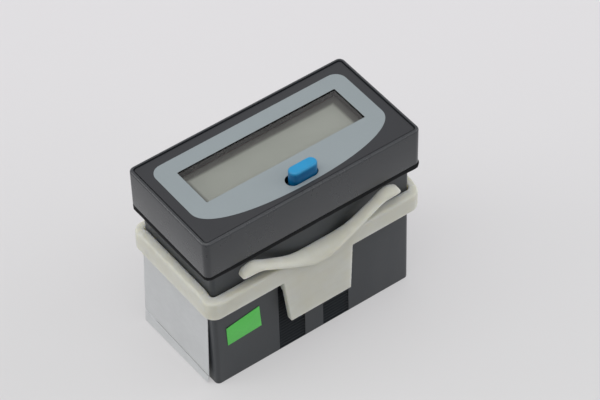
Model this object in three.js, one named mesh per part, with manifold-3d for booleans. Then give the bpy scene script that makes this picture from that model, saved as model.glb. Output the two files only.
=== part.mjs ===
// Panel-mount counter with a liquid-crystal display, standing on its rear face.
// Millimetres. Rear face at z = 0, display facing +Z, x along the display, y across it.
import * as THREE from 'three';
import { mergeVertices } from 'three/addons/utils/BufferGeometryUtils.js';
import Module from 'manifold-3d';

const wasm = await Module();
wasm.setup();

// Gaps shared by the whole instrument
const seatGap = 0.05;
const fitGap = 0.1;
const glueGap = 0.01;
const weldTolerance = 1e-5;
const cutOverrun = 1;
const arcSteps = 6;

// Front bezel
const bezelLength = 48;
const bezelWidth = 24;
const bezelDepth = 8.6;
const bezelCornerRadius = 0.95;
const bezelEdgeRadius = 0.42;
const bezelDraft = 0.06;
const bezelFaceThickness = 1.5;

// Housing tube behind the bezel, smaller all round so that the bezel laps over the panel
const panelStepLength = 1.6;
const panelStepWidth = 1.1;
const housingCornerRadius = 0.9;
const housingWall = 1.4;
const housingShelf = 0.8;
const housingRimRise = 1.8;
const housingEdgeChamfer = 0.25;

// Snap lugs, the same on the housing rim and on the terminal block
const lugLength = 5;
const lugHeight = 1;
const lugProud = 0.4;
const lugSpacing = 24;
const housingLugRise = 1;
const blockLugRise = 6.5;

// Ratchet columns on both long sides of the housing
const toothPitch = 0.8;
const toothDepth = 0.35;
const ratchetTopMargin = 6.85;
const ratchetInner = 2.1;
const ratchetOuter = 8.05;

// Panel gasket under the bezel
const gasketThickness = 1.3;
const gasketLip = 0.12;

// Printed front foil
const foilThickness = 0.2;
const foilSink = 0.2;
const foilBorder = 0.84;
const foilGap = 0.24;
const foilCornerRadius = 0.6;

// Window and its clear pane
const windowLeftMargin = 6.5;
const windowRightMargin = 6.15;
const windowTopMargin = 6.2;
const windowBottomMargin = 8.5;
const paneThickness = 0.4;
const paneLap = 1;

// Silver print on the foil
const printThickness = 0.05;
const printSideMargin = 2.65;
const printTopMargin = 2.55;
const printBottomMargin = 1.25;
const printBellyDrop = 6.85;
const printCornerRadius = 2.4;
const printBellyShare = 0.6;

// Liquid-crystal cell
const lcdGap = 0.25;
const polariserThickness = 0.2;
const polariserInset = 0.6;
const glassThickness = 1.1;
const glassMarginLength = 1.3;
const glassMarginWidth = 0.4;
const glassLedge = 2.2;
const zebraWidth = 1.3;
const zebraInset = 1;
const zebraShortfall = 1.2;

// Holder that carries the cell on the board
const holderFloor = 0.8;
const holderEndGap = 0.2;
const holderTopGap = 0.1;
const holderHollowInset = 0.35;

// Circuit board and what is soldered on it
const boardDrop = 7.8;
const boardThickness = 1.2;
const boardGap = 0.2;
const boardCornerRadius = 0.6;
const chipHeight = 1.4;
const chipCellGap = 1.1;
const chipLeadCount = 8;
const chipLeadWidth = 0.35;
const chipLeadReach = 0.9;
const chipLeadInset = 0.525;
const chipLeadThickness = 0.2;
const crystalRadius = 1;
const crystalLength = 6;
const crystalChipGap = 0.6;
const crystalWallGap = 0.6;
const crystalLeadRadius = 0.2;
const crystalLeadLength = 1.6;
const capacitorSize = [2, 1.25, 0.9];
const resistorSize = [0.8, 1.6, 0.5];
const smallPartGap = 1.3;
const capacitorShares = [-0.45, 0, 0.45];
const resistorShares = [-0.35, -0.15, 0.05];

// Reset button, its slot and the silicone dome under it
const buttonLength = 6;
const buttonWidth = 2.45;
const buttonRise = 2.5;
const buttonCentreX = 0.1;
const buttonBottomMargin = 3.625;
const buttonEdgeRadius = 0.35;
const buttonSlotGap = 0.25;
const buttonSlotShift = -0.2;
const buttonEarReach = 1.3;
const buttonEarInset = 0.15;
const buttonEarThickness = 0.8;
const buttonStemLength = 3.6;
const buttonStemWidth = 1.5;
const domeLength = 4.6;
const domeWidth = 1.7;
const domeBase = 0.6;
const domeHeight = 1.9;
const domeNeckShare = 0.72;

// Lithium cell and its solder tabs, with room for the electronics beyond its end
const cellSideGap = 1.45;
const cellEndGap = 2.3;
const electronicsLength = 13.1;
const cellGap = 2.4;
const cellClearance = 4.1;
const cellNubRadius = 3.4;
const cellNubHeight = 0.6;
const tabThickness = 0.25;
const tabWidth = 4;
const tabOverlap = 2;

// Rear terminal block, its five screw bays and the cradle for the cell
const blockSink = 0.5;
const blockCornerRadius = 0.6;
const blockFloor = 4.4;
const blockSideWall = 1.6;
const blockEndWall = 1.6;
const barrierThickness = 1;
const bayCount = 5;
const bayDepth = 5.1;
const cradleInset = 4.5;
const cradleThickness = 1.6;
const cradleSideInset = 2.6;
const cradleHeight = 5.5;
const cradleGap = 0.3;
const contactThickness = 0.5;
const contactTailWidth = 2.4;
const plateGap = 0.6;
const plateWidth = 5.4;
const plateThickness = 1;
const screwRadius = 1.4;
const screwHeadGap = 0.7;
const screwHeadHeight = 1.8;
const screwTipWall = 1;
const screwSlotWidth = 0.8;
const screwSlotDepth = 0.9;

// Mounting clamp that slides along the housing
const clampGap = 0.3;
const clampWall = 1.5;
const clampSideWall = 1.6;
const clampCornerRadius = 2.4;
const clampHeight = 4.55;
const clampEndRise = 0.6;
const clampEdgeRadius = 0.6;
const clampStandOff = 5.75;
const clampRampLength = 0.6;
const clampRampInset = 1.6;
const tongueSideInset = 0.15;
const tongueTaper = 0.65;
const tongueLength = 10.2;
const tongueThickness = 1.35;
const tongueFlare = 0.6;
const pawlReach = 0.15;
const pawlDrop = 0.4;
const pawlHeight = 2;
const leafBack = 0.2;
const leafProud = 1;
const leafShift = 0.4;
const leafDepth = 3;
const leafFlatHalf = 2.8;
const leafRootHalf = 5.2;
const leafThickness = 1.5;
const footEndInset = 6.1;
const footLength = 4.9;
const footCrown = 1;
const footHeight = 1.85;
const footTopGap = 0.35;

// Labels
const labelThickness = 0.12;
const whiteLabelNearInset = 2;
const whiteLabelFarInset = 1.6;
const whiteLabelTuck = 0.75;
const whiteLabelFootZ = 0.4;
const greenLabelLength = 7.5;
const greenLabelHeight = 5.1;
const greenLabelInset = 6.45;
const greenLabelCentreZ = 12.2;
const greenLabelTilt = 4.5;

// Lengths that follow from the values above
const housingLength = bezelLength - 2 * panelStepLength;
const housingWidth = bezelWidth - 2 * panelStepWidth;
const boardLength = housingLength - 2 * (housingWall + boardGap);
const boardWidth = housingWidth - 2 * (housingWall + boardGap);
const tubeLength = housingLength - 2 * (housingWall + housingShelf);
const tubeWidth = housingWidth - 2 * (housingWall + housingShelf);
const cellRadius = tubeWidth / 2 - cellSideGap;
const cellLength = tubeLength - cellEndGap - electronicsLength;
const blockLength = tubeLength - 2 * fitGap;
const blockWidth = tubeWidth - 2 * fitGap;
const barriersLength = (bayCount - 1) * barrierThickness;
const bayLength = (blockLength - 2 * blockEndWall - barriersLength) / bayCount;
const bayWidth = blockWidth - 2 * blockSideWall;
const bayPitch = bayLength + barrierThickness;
const plateLength = bayLength - 2 * plateGap;
const screwHeadRadius = bayLength / 2 - screwHeadGap;
const crystalRoom = crystalChipGap + 2 * crystalRadius + crystalWallGap;
const chipSide = electronicsLength - chipCellGap - 2 * chipLeadReach - crystalRoom;
const chipLeadPitch = (chipSide - 2 * chipLeadInset - chipLeadWidth) / (chipLeadCount - 1);
const windowLength = bezelLength - windowLeftMargin - windowRightMargin;
const windowWidth = bezelWidth - windowTopMargin - windowBottomMargin;
const windowCentreX = (windowLeftMargin - windowRightMargin) / 2;
const windowCentreY = (windowBottomMargin - windowTopMargin) / 2;
const buttonCentreY = buttonBottomMargin - bezelWidth / 2;
const clampInnerLength = housingLength + 2 * clampGap;
const clampInnerWidth = housingWidth + 2 * clampGap;
const clampLength = clampInnerLength + 2 * clampWall;
const clampWidth = clampInnerWidth + 2 * clampSideWall;
const tongueTopWidth = 2 * (ratchetOuter - tongueSideInset);
const tongueEndWidth = tongueTopWidth - 2 * tongueTaper;
const leafBackY = bezelWidth / 2 + leafBack;
const leafFrontY = clampWidth / 2 + leafProud;
const footEnd = clampLength / 2 - footEndInset;
const footStart = footEnd - footLength;
const glassLength = windowLength + 2 * glassMarginLength;
const rearGlassWidth = windowWidth + 2 * glassMarginWidth;
const frontGlassWidth = rearGlassWidth + 2 * glassLedge;
const zebraOffset = frontGlassWidth / 2 - zebraInset;
const zebraLength = glassLength - zebraShortfall;

// Levels, from the rear up to the display
const bayFloorZ = blockSink + bayDepth;
const blockTopZ = bayFloorZ + blockFloor;
const cellCentreZ = blockTopZ + cellClearance + cellRadius;
const boardBottomZ = cellCentreZ + cellRadius + cellGap;
const boardTopZ = boardBottomZ + boardThickness;
const overallHeight = boardTopZ + boardDrop;
const foilTopZ = overallHeight - foilSink;
const foilBottomZ = foilTopZ - foilThickness;
const faceRearZ = foilBottomZ - bezelFaceThickness;
const paneBottomZ = foilBottomZ - paneThickness;
const bezelRearZ = overallHeight - bezelDepth;
const gasketRearZ = bezelRearZ - seatGap - gasketThickness;
const lcdTopZ = faceRearZ - lcdGap;
const frontGlassTopZ = lcdTopZ - polariserThickness;
const frontGlassBottomZ = frontGlassTopZ - glassThickness;
const rearGlassBottomZ = frontGlassBottomZ - glassThickness;
const reflectorBottomZ = rearGlassBottomZ - polariserThickness;
const housingTopZ = boardTopZ + housingRimRise;
const buttonTopZ = foilTopZ + buttonRise;
const domeTopZ = boardTopZ + seatGap + domeHeight;
const contactFaceZ = bayFloorZ - contactThickness - seatGap;
const plateFaceZ = contactFaceZ - plateThickness - seatGap;
const screwTipZ = blockTopZ - screwTipWall;
const clampTopZ = gasketRearZ - clampStandOff;
const clampBottomZ = clampTopZ - clampHeight;
const ratchetHeight = gasketRearZ - ratchetTopMargin;

// Places across the instrument
const bladeY = tubeWidth / 2 - fitGap - contactThickness / 2;
const cellLowX = cellEndGap - tubeLength / 2;
const cellHighX = cellLowX + cellLength;
const cellCentreX = (cellLowX + cellHighX) / 2;
const crystalCentreX = tubeLength / 2 - crystalWallGap - crystalRadius;
const chipCentreX = cellHighX + chipCellGap + chipLeadReach + chipSide / 2;
const smallPartY = chipSide / 2 + chipLeadReach + smallPartGap;
const printTopY = bezelWidth / 2 - printTopMargin;
const printBellyY = printBottomMargin - bezelWidth / 2;
const printWaistY = printBellyY + printBellyDrop;
const degree = Math.PI / 180;

// A closed solid from a three.js geometry
function solidOf(geometry) {
  const bare = geometry.index ? geometry.toNonIndexed() : geometry.clone();
  bare.deleteAttribute('normal');
  bare.deleteAttribute('uv');
  const welded = mergeVertices(bare, weldTolerance);
  const mesh = new wasm.Mesh({
    numProp: 3,
    vertProperties: new Float32Array(welded.attributes.position.array),
    triVerts: new Uint32Array(welded.index.array),
  });
  return new wasm.Manifold(mesh);
}

// A three.js geometry from a closed solid
function geometryOf(solid) {
  const mesh = solid.getMesh();
  const geometry = new THREE.BufferGeometry();
  geometry.setAttribute('position', new THREE.BufferAttribute(new Float32Array(mesh.vertProperties), 3));
  geometry.setIndex(new THREE.BufferAttribute(new Uint32Array(mesh.triVerts), 1));
  return geometry;
}

// A box between its lowest and highest corner
function boxBetween(low, high) {
  const size = high.map((value, i) => value - low[i]);
  const box = new THREE.BoxGeometry(size[0], size[1], size[2]);
  box.translate((low[0] + high[0]) / 2, (low[1] + high[1]) / 2, (low[2] + high[2]) / 2);
  return solidOf(box);
}

// A box centred on x and y, standing between two heights
function post(centreX, centreY, length, width, lowZ, highZ) {
  return boxBetween(
    [centreX - length / 2, centreY - width / 2, lowZ],
    [centreX + length / 2, centreY + width / 2, highZ],
  );
}

// The corner points of a rectangle with rounded corners, anticlockwise
function roundedRing(length, width, radius, steps) {
  const points = [];
  const r = Math.max(radius, glueGap);
  for (let corner = 0; corner < 4; corner += 1) {
    const sideX = corner === 0 || corner === 3 ? 1 : -1;
    const sideY = corner < 2 ? 1 : -1;
    for (let step = 0; step <= steps; step += 1) {
      const angle = (corner + step / steps) * Math.PI / 2;
      points.push([
        sideX * (length / 2 - r) + r * Math.cos(angle),
        sideY * (width / 2 - r) + r * Math.sin(angle),
      ]);
    }
  }
  return points;
}

// A rounded block whose outline shrinks by an inset at each level, from the lowest up
function roundedStack(length, width, radius, levels, steps = arcSteps) {
  const rings = levels.map(([z, inset]) => ({
    z,
    points: roundedRing(length - 2 * inset, width - 2 * inset, radius - inset, steps),
  }));
  const count = rings[0].points.length;
  const positions = [];
  const index = [];
  rings.forEach((ring) => ring.points.forEach(([x, y]) => positions.push(x, y, ring.z)));
  for (let level = 0; level < rings.length - 1; level += 1) {
    for (let i = 0; i < count; i += 1) {
      const a = level * count + i;
      const b = level * count + (i + 1) % count;
      index.push(a, b, b + count, a, b + count, a + count);
    }
  }
  const low = positions.length / 3;
  positions.push(0, 0, rings[0].z, 0, 0, rings[rings.length - 1].z);
  const top = (rings.length - 1) * count;
  for (let i = 0; i < count; i += 1) {
    const next = (i + 1) % count;
    index.push(low, next, i, low + 1, top + i, top + next);
  }
  const geometry = new THREE.BufferGeometry();
  geometry.setAttribute('position', new THREE.Float32BufferAttribute(positions, 3));
  geometry.setIndex(index);
  return solidOf(geometry);
}

// A plain rounded block between two heights
function roundedBlock(length, width, radius, lowZ, highZ) {
  return roundedStack(length, width, radius, [[lowZ, 0], [highZ, 0]]);
}

// A bar with round ends, standing between two heights
function stadium(length, width, lowZ, highZ) {
  return roundedBlock(length, width, width / 2, lowZ, highZ);
}

// A shape drawn in x and z, pushed along y between two places
function alongY(points, lowY, highY) {
  const shape = new THREE.Shape(points.map(([x, z]) => new THREE.Vector2(x, z)));
  const geometry = new THREE.ExtrudeGeometry(shape, { depth: highY - lowY, bevelEnabled: false });
  const turn = new THREE.Matrix4().makeBasis(
    new THREE.Vector3(1, 0, 0),
    new THREE.Vector3(0, 0, 1),
    new THREE.Vector3(0, -1, 0),
  );
  geometry.applyMatrix4(turn);
  geometry.translate(0, highY, 0);
  return solidOf(geometry);
}

// A shape drawn in y and z, pushed along x between two places
function alongX(points, lowX, highX) {
  const shape = new THREE.Shape(points.map(([y, z]) => new THREE.Vector2(y, z)));
  const geometry = new THREE.ExtrudeGeometry(shape, { depth: highX - lowX, bevelEnabled: false });
  const turn = new THREE.Matrix4().makeBasis(
    new THREE.Vector3(0, 1, 0),
    new THREE.Vector3(0, 0, 1),
    new THREE.Vector3(1, 0, 0),
  );
  geometry.applyMatrix4(turn);
  geometry.translate(lowX, 0, 0);
  return solidOf(geometry);
}

// A round bar along z
function roundZ(radius, centreX, centreY, lowZ, highZ, steps) {
  const bar = new THREE.CylinderGeometry(radius, radius, highZ - lowZ, steps);
  bar.rotateX(Math.PI / 2);
  bar.translate(centreX, centreY, (lowZ + highZ) / 2);
  return solidOf(bar);
}

// A round bar along x
function roundX(radius, lowX, highX, centreY, centreZ, steps) {
  const bar = new THREE.CylinderGeometry(radius, radius, highX - lowX, steps);
  bar.rotateZ(Math.PI / 2);
  bar.translate((lowX + highX) / 2, centreY, centreZ);
  return solidOf(bar);
}

function joined(solids) {
  return solids.reduce((whole, solid) => whole.add(solid));
}

// The same solid turned half round the z axis, for the far long side
function farSide(solid) {
  return solidOf(geometryOf(solid).rotateZ(Math.PI));
}

const counter = new THREE.Group();

function addPiece(name, solid, colour, roughness, metalness = 0, opacity = 1) {
  const material = new THREE.MeshStandardMaterial({ color: colour, roughness, metalness });
  material.opacity = opacity;
  material.transparent = opacity < 1;
  const piece = new THREE.Mesh(geometryOf(solid), material);
  piece.name = name;
  counter.add(piece);
  return piece;
}

// Rounding of a top edge as levels of a stack, from the start of the round to the top
function topRound(topZ, radius, inset, steps) {
  const levels = [];
  for (let step = 0; step <= steps; step += 1) {
    const angle = step / steps * Math.PI / 2;
    levels.push([topZ - radius * (1 - Math.sin(angle)), inset + radius * (1 - Math.cos(angle))]);
  }
  return levels;
}

// Four lugs, two on each long side, standing proud of a face at the given half width
function snapLugs(halfWidth, lowZ, gap) {
  const lugs = [];
  for (const sideX of [-1, 1]) {
    for (const sideY of [-1, 1]) {
      const inner = sideY * (halfWidth - lugProud);
      const outer = sideY * (halfWidth + lugProud + gap);
      lugs.push(boxBetween(
        [sideX * lugSpacing / 2 - lugLength / 2 - gap, Math.min(inner, outer), lowZ - gap],
        [sideX * lugSpacing / 2 + lugLength / 2 + gap, Math.max(inner, outer), lowZ + lugHeight + gap],
      ));
    }
  }
  return joined(lugs);
}

// The window hole through a layer of the front
function windowHole(margin, lowZ, highZ) {
  const length = windowLength + 2 * margin;
  return post(windowCentreX, windowCentreY, length, windowWidth + 2 * margin, lowZ, highZ);
}

// The button slot through a layer of the front
function buttonSlot(lowZ, highZ) {
  const length = buttonLength + 2 * buttonSlotGap - buttonSlotShift;
  const slot = stadium(length, buttonWidth + 2 * buttonSlotGap, lowZ, highZ);
  return slot.translate([buttonCentreX + buttonSlotShift, buttonCentreY, 0]);
}

function makeBezel() {
  const levels = [[bezelRearZ, 0], ...topRound(overallHeight, bezelEdgeRadius, bezelDraft, 4)];
  const shell = roundedStack(bezelLength, bezelWidth, bezelCornerRadius, levels);
  const cavity = roundedBlock(
    housingLength + 2 * fitGap,
    housingWidth + 2 * fitGap,
    housingCornerRadius + fitGap,
    bezelRearZ - cutOverrun,
    faceRearZ,
  );
  const foilSeat = roundedBlock(
    bezelLength - 2 * (foilBorder - foilGap),
    bezelWidth - 2 * (foilBorder - foilGap),
    foilCornerRadius,
    foilBottomZ - seatGap,
    overallHeight + cutOverrun,
  );
  const paneSeat = windowHole(paneLap + fitGap, paneBottomZ - 2 * seatGap, overallHeight);
  const lugPockets = snapLugs(housingWidth / 2, bezelRearZ + housingLugRise, fitGap);
  return shell
    .subtract(cavity)
    .subtract(foilSeat)
    .subtract(paneSeat)
    .subtract(windowHole(0, faceRearZ - cutOverrun, overallHeight))
    .subtract(buttonSlot(faceRearZ - cutOverrun, overallHeight))
    .subtract(lugPockets);
}

function makeFoil() {
  const sheet = roundedBlock(
    bezelLength - 2 * foilBorder,
    bezelWidth - 2 * foilBorder,
    foilCornerRadius,
    foilBottomZ,
    foilTopZ,
  );
  return sheet
    .subtract(windowHole(0, foilBottomZ - cutOverrun, overallHeight))
    .subtract(buttonSlot(foilBottomZ - cutOverrun, overallHeight));
}

// The silver field: square shoulders with round corners above, one long belly curve below
function makePrint() {
  const half = bezelLength / 2 - printSideMargin;
  const cornerX = half - printCornerRadius;
  const cornerY = printTopY - printCornerRadius;
  const shape = new THREE.Shape();
  shape.moveTo(half, printWaistY);
  shape.lineTo(half, cornerY);
  shape.absarc(cornerX, cornerY, printCornerRadius, 0, Math.PI / 2);
  shape.absarc(-cornerX, cornerY, printCornerRadius, Math.PI / 2, Math.PI);
  shape.lineTo(-half, printWaistY);
  const pullY = printWaistY - printBellyShare * printBellyDrop;
  const pullX = printBellyShare * half;
  shape.bezierCurveTo(-half, pullY, -pullX, printBellyY, 0, printBellyY);
  shape.bezierCurveTo(pullX, printBellyY, half, pullY, half, printWaistY);
  const geometry = new THREE.ExtrudeGeometry(shape, {
    depth: printThickness,
    bevelEnabled: false,
    curveSegments: 3 * arcSteps,
  });
  geometry.translate(0, 0, foilTopZ);
  return solidOf(geometry)
    .subtract(windowHole(0, foilTopZ - cutOverrun, overallHeight))
    .subtract(buttonSlot(foilTopZ - cutOverrun, overallHeight));
}

function makePane() {
  return windowHole(paneLap, paneBottomZ - seatGap, foilBottomZ - seatGap);
}

function lcdLayer(length, width, lowZ, highZ) {
  return post(windowCentreX, windowCentreY, length, width, lowZ, highZ);
}

function zebraStrip(side) {
  const centreY = windowCentreY + side * zebraOffset;
  return post(
    windowCentreX,
    centreY,
    zebraLength,
    zebraWidth,
    boardTopZ + seatGap,
    frontGlassBottomZ - seatGap,
  );
}

// The holder: a tray for the glass, two slots for the strips and a hollow over the board
function makeHolder() {
  const lowY = buttonCentreY + buttonWidth / 2 + holderEndGap + fitGap;
  const highY = boardWidth / 2;
  const halfX = boardLength / 2 - holderEndGap;
  const lowZ = boardTopZ + seatGap;
  const trayZ = frontGlassBottomZ - seatGap;
  const floorZ = reflectorBottomZ - seatGap;
  const body = boxBetween([-halfX, lowY, lowZ], [halfX, highY, faceRearZ - holderTopGap]);
  const tray = lcdLayer(glassLength + 2 * fitGap, frontGlassWidth + 2 * fitGap, trayZ, overallHeight);
  const well = lcdLayer(glassLength + 2 * fitGap, rearGlassWidth + 2 * fitGap, floorZ, overallHeight);
  const hollowWidth = rearGlassWidth - 2 * holderHollowInset;
  const hollow = lcdLayer(zebraLength, hollowWidth, lowZ - cutOverrun, floorZ - holderFloor);
  const slots = [-1, 1].map((side) => post(
    windowCentreX,
    windowCentreY + side * zebraOffset,
    zebraLength + 2 * fitGap,
    zebraWidth + 2 * fitGap,
    lowZ - cutOverrun,
    overallHeight,
  ));
  return body.subtract(tray).subtract(well).subtract(hollow).subtract(joined(slots));
}

function bladeX(bay) {
  return (bay - (bayCount - 1) / 2) * bayPitch;
}

function tabX(side) {
  return cellCentreX + side * (cellLength / 2 + seatGap + tabThickness / 2);
}

function makeBoard() {
  const lowZ = boardBottomZ - cutOverrun;
  const highZ = boardTopZ + cutOverrun;
  const slots = [];
  for (let bay = 0; bay < bayCount; bay += 1) {
    const slotWidth = contactTailWidth + 2 * fitGap;
    slots.push(post(bladeX(bay), bladeY, slotWidth, contactThickness + 2 * fitGap, lowZ, highZ));
  }
  for (const side of [-1, 1]) {
    slots.push(post(tabX(side), 0, tabThickness + 2 * fitGap, tabWidth + 2 * fitGap, lowZ, highZ));
  }
  const sheet = roundedBlock(boardLength, boardWidth, boardCornerRadius, boardBottomZ, boardTopZ);
  return sheet.subtract(joined(slots));
}

// The chip hangs under the board with a row of leads on each side
function makeChip() {
  const topZ = boardBottomZ - seatGap;
  const bodyTopZ = topZ - chipLeadThickness;
  const parts = [post(chipCentreX, 0, chipSide, chipSide, bodyTopZ - chipHeight, bodyTopZ)];
  const reach = chipSide / 2 + chipLeadReach / 2 - seatGap;
  const midZ = bodyTopZ - chipHeight / 2;
  for (let lead = 0; lead < chipLeadCount; lead += 1) {
    const offset = (lead - (chipLeadCount - 1) / 2) * chipLeadPitch;
    for (const side of [-1, 1]) {
      const alongSide = [chipLeadReach + 2 * seatGap, chipLeadWidth];
      parts.push(post(chipCentreX + side * reach, offset, alongSide[0], alongSide[1], midZ, topZ));
      parts.push(post(chipCentreX + offset, side * reach, alongSide[1], alongSide[0], midZ, topZ));
    }
  }
  return joined(parts);
}

// A watch crystal in its can, lying under the board with two short leads
function makeCrystal() {
  const centreZ = boardBottomZ - seatGap - crystalRadius;
  const can = new THREE.CylinderGeometry(crystalRadius, crystalRadius, crystalLength, 16);
  can.translate(crystalCentreX, 0, centreZ);
  const leads = [-1, 1].map((side) => {
    const lead = new THREE.CylinderGeometry(crystalLeadRadius, crystalLeadRadius, crystalLeadLength, 8);
    const startY = -crystalLength / 2 - crystalLeadLength / 2 + seatGap;
    lead.translate(crystalCentreX + side * crystalRadius / 2, startY, centreZ);
    return solidOf(lead);
  });
  return joined([solidOf(can), ...leads]);
}

// A small soldered part under the board, beside the chip at a share of its length
function smallPart(share, side, size) {
  const topZ = boardBottomZ - seatGap;
  const x = chipCentreX + share * chipSide;
  return post(x, side * smallPartY, size[0], size[1], topZ - size[2], topZ);
}

function makeButton() {
  const earTopZ = faceRearZ - fitGap;
  const earBottomZ = earTopZ - buttonEarThickness;
  const capLevels = [[earBottomZ, 0], ...topRound(buttonTopZ, buttonEdgeRadius, 0, 3)];
  const cap = roundedStack(buttonLength, buttonWidth, buttonWidth / 2, capLevels);
  const earWidth = buttonWidth - 2 * buttonEarInset;
  const ears = stadium(buttonLength + 2 * buttonEarReach, earWidth, earBottomZ, earTopZ);
  const stem = roundedBlock(
    buttonStemLength,
    buttonStemWidth,
    buttonStemWidth / 4,
    domeTopZ + seatGap,
    earBottomZ + seatGap,
  );
  return joined([cap, ears, stem]).translate([buttonCentreX, buttonCentreY, 0]);
}

function makeDome() {
  const baseZ = boardTopZ + seatGap;
  const base = stadium(domeLength, domeWidth, baseZ, baseZ + domeBase);
  const neck = stadium(domeNeckShare * domeLength, domeNeckShare * domeWidth, baseZ, domeTopZ);
  return base.add(neck).translate([buttonCentreX, buttonCentreY, 0]);
}

function makeCell() {
  const can = roundX(cellRadius, cellLowX, cellHighX - cellNubHeight, 0, cellCentreZ, 48);
  const nub = roundX(cellNubRadius, cellHighX - 2 * cellNubHeight, cellHighX, 0, cellCentreZ, 24);
  return can.add(nub);
}

function cellTab(side) {
  return post(
    tabX(side),
    0,
    tabThickness,
    tabWidth,
    cellCentreZ - tabOverlap,
    boardTopZ - fitGap,
  );
}

// One saw-toothed cutter for a ratchet column on the near long side
function ratchetCutter(lowX, highX) {
  const face = -housingWidth / 2;
  const count = Math.floor(ratchetHeight / toothPitch);
  const points = [[face - cutOverrun, 0]];
  for (let tooth = 0; tooth < count; tooth += 1) {
    points.push([face + toothDepth, tooth * toothPitch]);
    points.push([face, (tooth + 1) * toothPitch]);
  }
  points.push([face - cutOverrun, count * toothPitch]);
  return alongX(points, lowX, highX);
}

function makeHousing() {
  const outer = roundedStack(housingLength, housingWidth, housingCornerRadius, [
    [0, housingEdgeChamfer],
    [housingEdgeChamfer, 0],
    [housingTopZ, 0],
  ]);
  const shelfZ = boardBottomZ - seatGap;
  const wall = housingWall + housingShelf;
  const tube = roundedBlock(
    tubeLength,
    tubeWidth,
    Math.max(housingCornerRadius - wall, blockCornerRadius + fitGap),
    -cutOverrun,
    shelfZ + cutOverrun,
  );
  const mouth = roundedBlock(
    housingLength - 2 * housingWall,
    housingWidth - 2 * housingWall,
    boardCornerRadius,
    shelfZ,
    housingTopZ + cutOverrun,
  );
  const near = [
    ratchetCutter(-ratchetOuter, -ratchetInner),
    ratchetCutter(ratchetInner, ratchetOuter),
  ];
  const teeth = joined([...near, ...near.map(farSide)]);
  const rimLugs = snapLugs(housingWidth / 2, bezelRearZ + housingLugRise, 0);
  const blockPockets = snapLugs(tubeWidth / 2 - fitGap, blockSink + blockLugRise, fitGap);
  return outer
    .add(rimLugs)
    .subtract(tube)
    .subtract(mouth)
    .subtract(teeth)
    .subtract(blockPockets);
}

function makeGasket() {
  const highZ = bezelRearZ - seatGap;
  const outer = roundedBlock(
    bezelLength + 2 * gasketLip,
    bezelWidth + 2 * gasketLip,
    bezelCornerRadius,
    gasketRearZ,
    highZ,
  );
  const inner = roundedBlock(
    housingLength + 2 * fitGap,
    housingWidth + 2 * fitGap,
    housingCornerRadius + fitGap,
    gasketRearZ - cutOverrun,
    highZ + cutOverrun,
  );
  return outer.subtract(inner);
}

// The terminal block: five open bays towards the rear, blade notches, and a cradle in front
function makeTerminalBlock() {
  const body = roundedBlock(blockLength, blockWidth, blockCornerRadius, blockSink, blockTopZ);
  const lugs = snapLugs(blockWidth / 2, blockSink + blockLugRise, 0);
  const cuts = [];
  for (let bay = 0; bay < bayCount; bay += 1) {
    const x = bladeX(bay);
    cuts.push(post(x, 0, bayLength, bayWidth, blockSink - cutOverrun, bayFloorZ));
    cuts.push(roundZ(screwRadius + fitGap, x, 0, bayFloorZ - cutOverrun, screwTipZ + fitGap, 24));
    const tail = contactTailWidth + 2 * fitGap;
    const innerY = bladeY - contactThickness / 2 - fitGap;
    cuts.push(boxBetween(
      [x - tail / 2, innerY, contactFaceZ - fitGap],
      [x + tail / 2, blockWidth / 2 + cutOverrun, blockTopZ + cutOverrun],
    ));
    cuts.push(boxBetween(
      [x - tail / 2, 0, contactFaceZ - fitGap],
      [x + tail / 2, blockWidth / 2 + cutOverrun, bayFloorZ],
    ));
  }
  const ribWidth = blockWidth - 2 * cradleSideInset;
  const ribs = [-1, 1].map((side) => {
    const x = cellCentreX + side * (cellLength / 2 - cradleInset);
    return post(x, 0, cradleThickness, ribWidth, blockTopZ - seatGap, blockTopZ + cradleHeight);
  });
  const saddle = roundX(
    cellRadius + cradleGap,
    cellCentreX - cellLength,
    cellCentreX + cellLength,
    0,
    cellCentreZ,
    48,
  );
  return body.add(lugs).subtract(joined(cuts)).add(joined(ribs).subtract(saddle));
}

// A brass strip: a pad under the screw, a tail through the bay wall and a blade up to the board
function terminalContact(bay) {
  const x = bladeX(bay);
  const lowY = bladeY - contactThickness / 2;
  const highY = bladeY + contactThickness / 2;
  const topZ = contactFaceZ + contactThickness;
  const pad = post(x, 0, plateLength, plateWidth, contactFaceZ, topZ);
  const tail = boxBetween(
    [x - contactTailWidth / 2, 0, contactFaceZ],
    [x + contactTailWidth / 2, highY, topZ],
  );
  const blade = boxBetween(
    [x - contactTailWidth / 2, lowY, contactFaceZ],
    [x + contactTailWidth / 2, highY, boardTopZ - fitGap],
  );
  const hole = roundZ(screwRadius + seatGap, x, 0, contactFaceZ - cutOverrun, topZ + cutOverrun, 24);
  return joined([pad, tail, blade]).subtract(hole);
}

function clampPlate(bay) {
  const x = bladeX(bay);
  const highZ = plateFaceZ + plateThickness;
  const hole = roundZ(screwRadius + seatGap, x, 0, plateFaceZ - cutOverrun, highZ + cutOverrun, 24);
  return post(x, 0, plateLength, plateWidth, plateFaceZ, highZ).subtract(hole);
}

function terminalScrew(bay) {
  const x = bladeX(bay);
  const headTopZ = plateFaceZ - seatGap;
  const headLowZ = headTopZ - screwHeadHeight;
  const head = roundZ(screwHeadRadius, x, 0, headLowZ, headTopZ, 24);
  const shank = roundZ(screwRadius, x, 0, headTopZ - screwSlotWidth, screwTipZ, 24);
  const slot = post(
    x,
    0,
    2 * screwHeadRadius + cutOverrun,
    screwSlotWidth,
    headLowZ - cutOverrun,
    headLowZ + screwSlotDepth,
  );
  return head.add(shank).subtract(slot);
}

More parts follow.
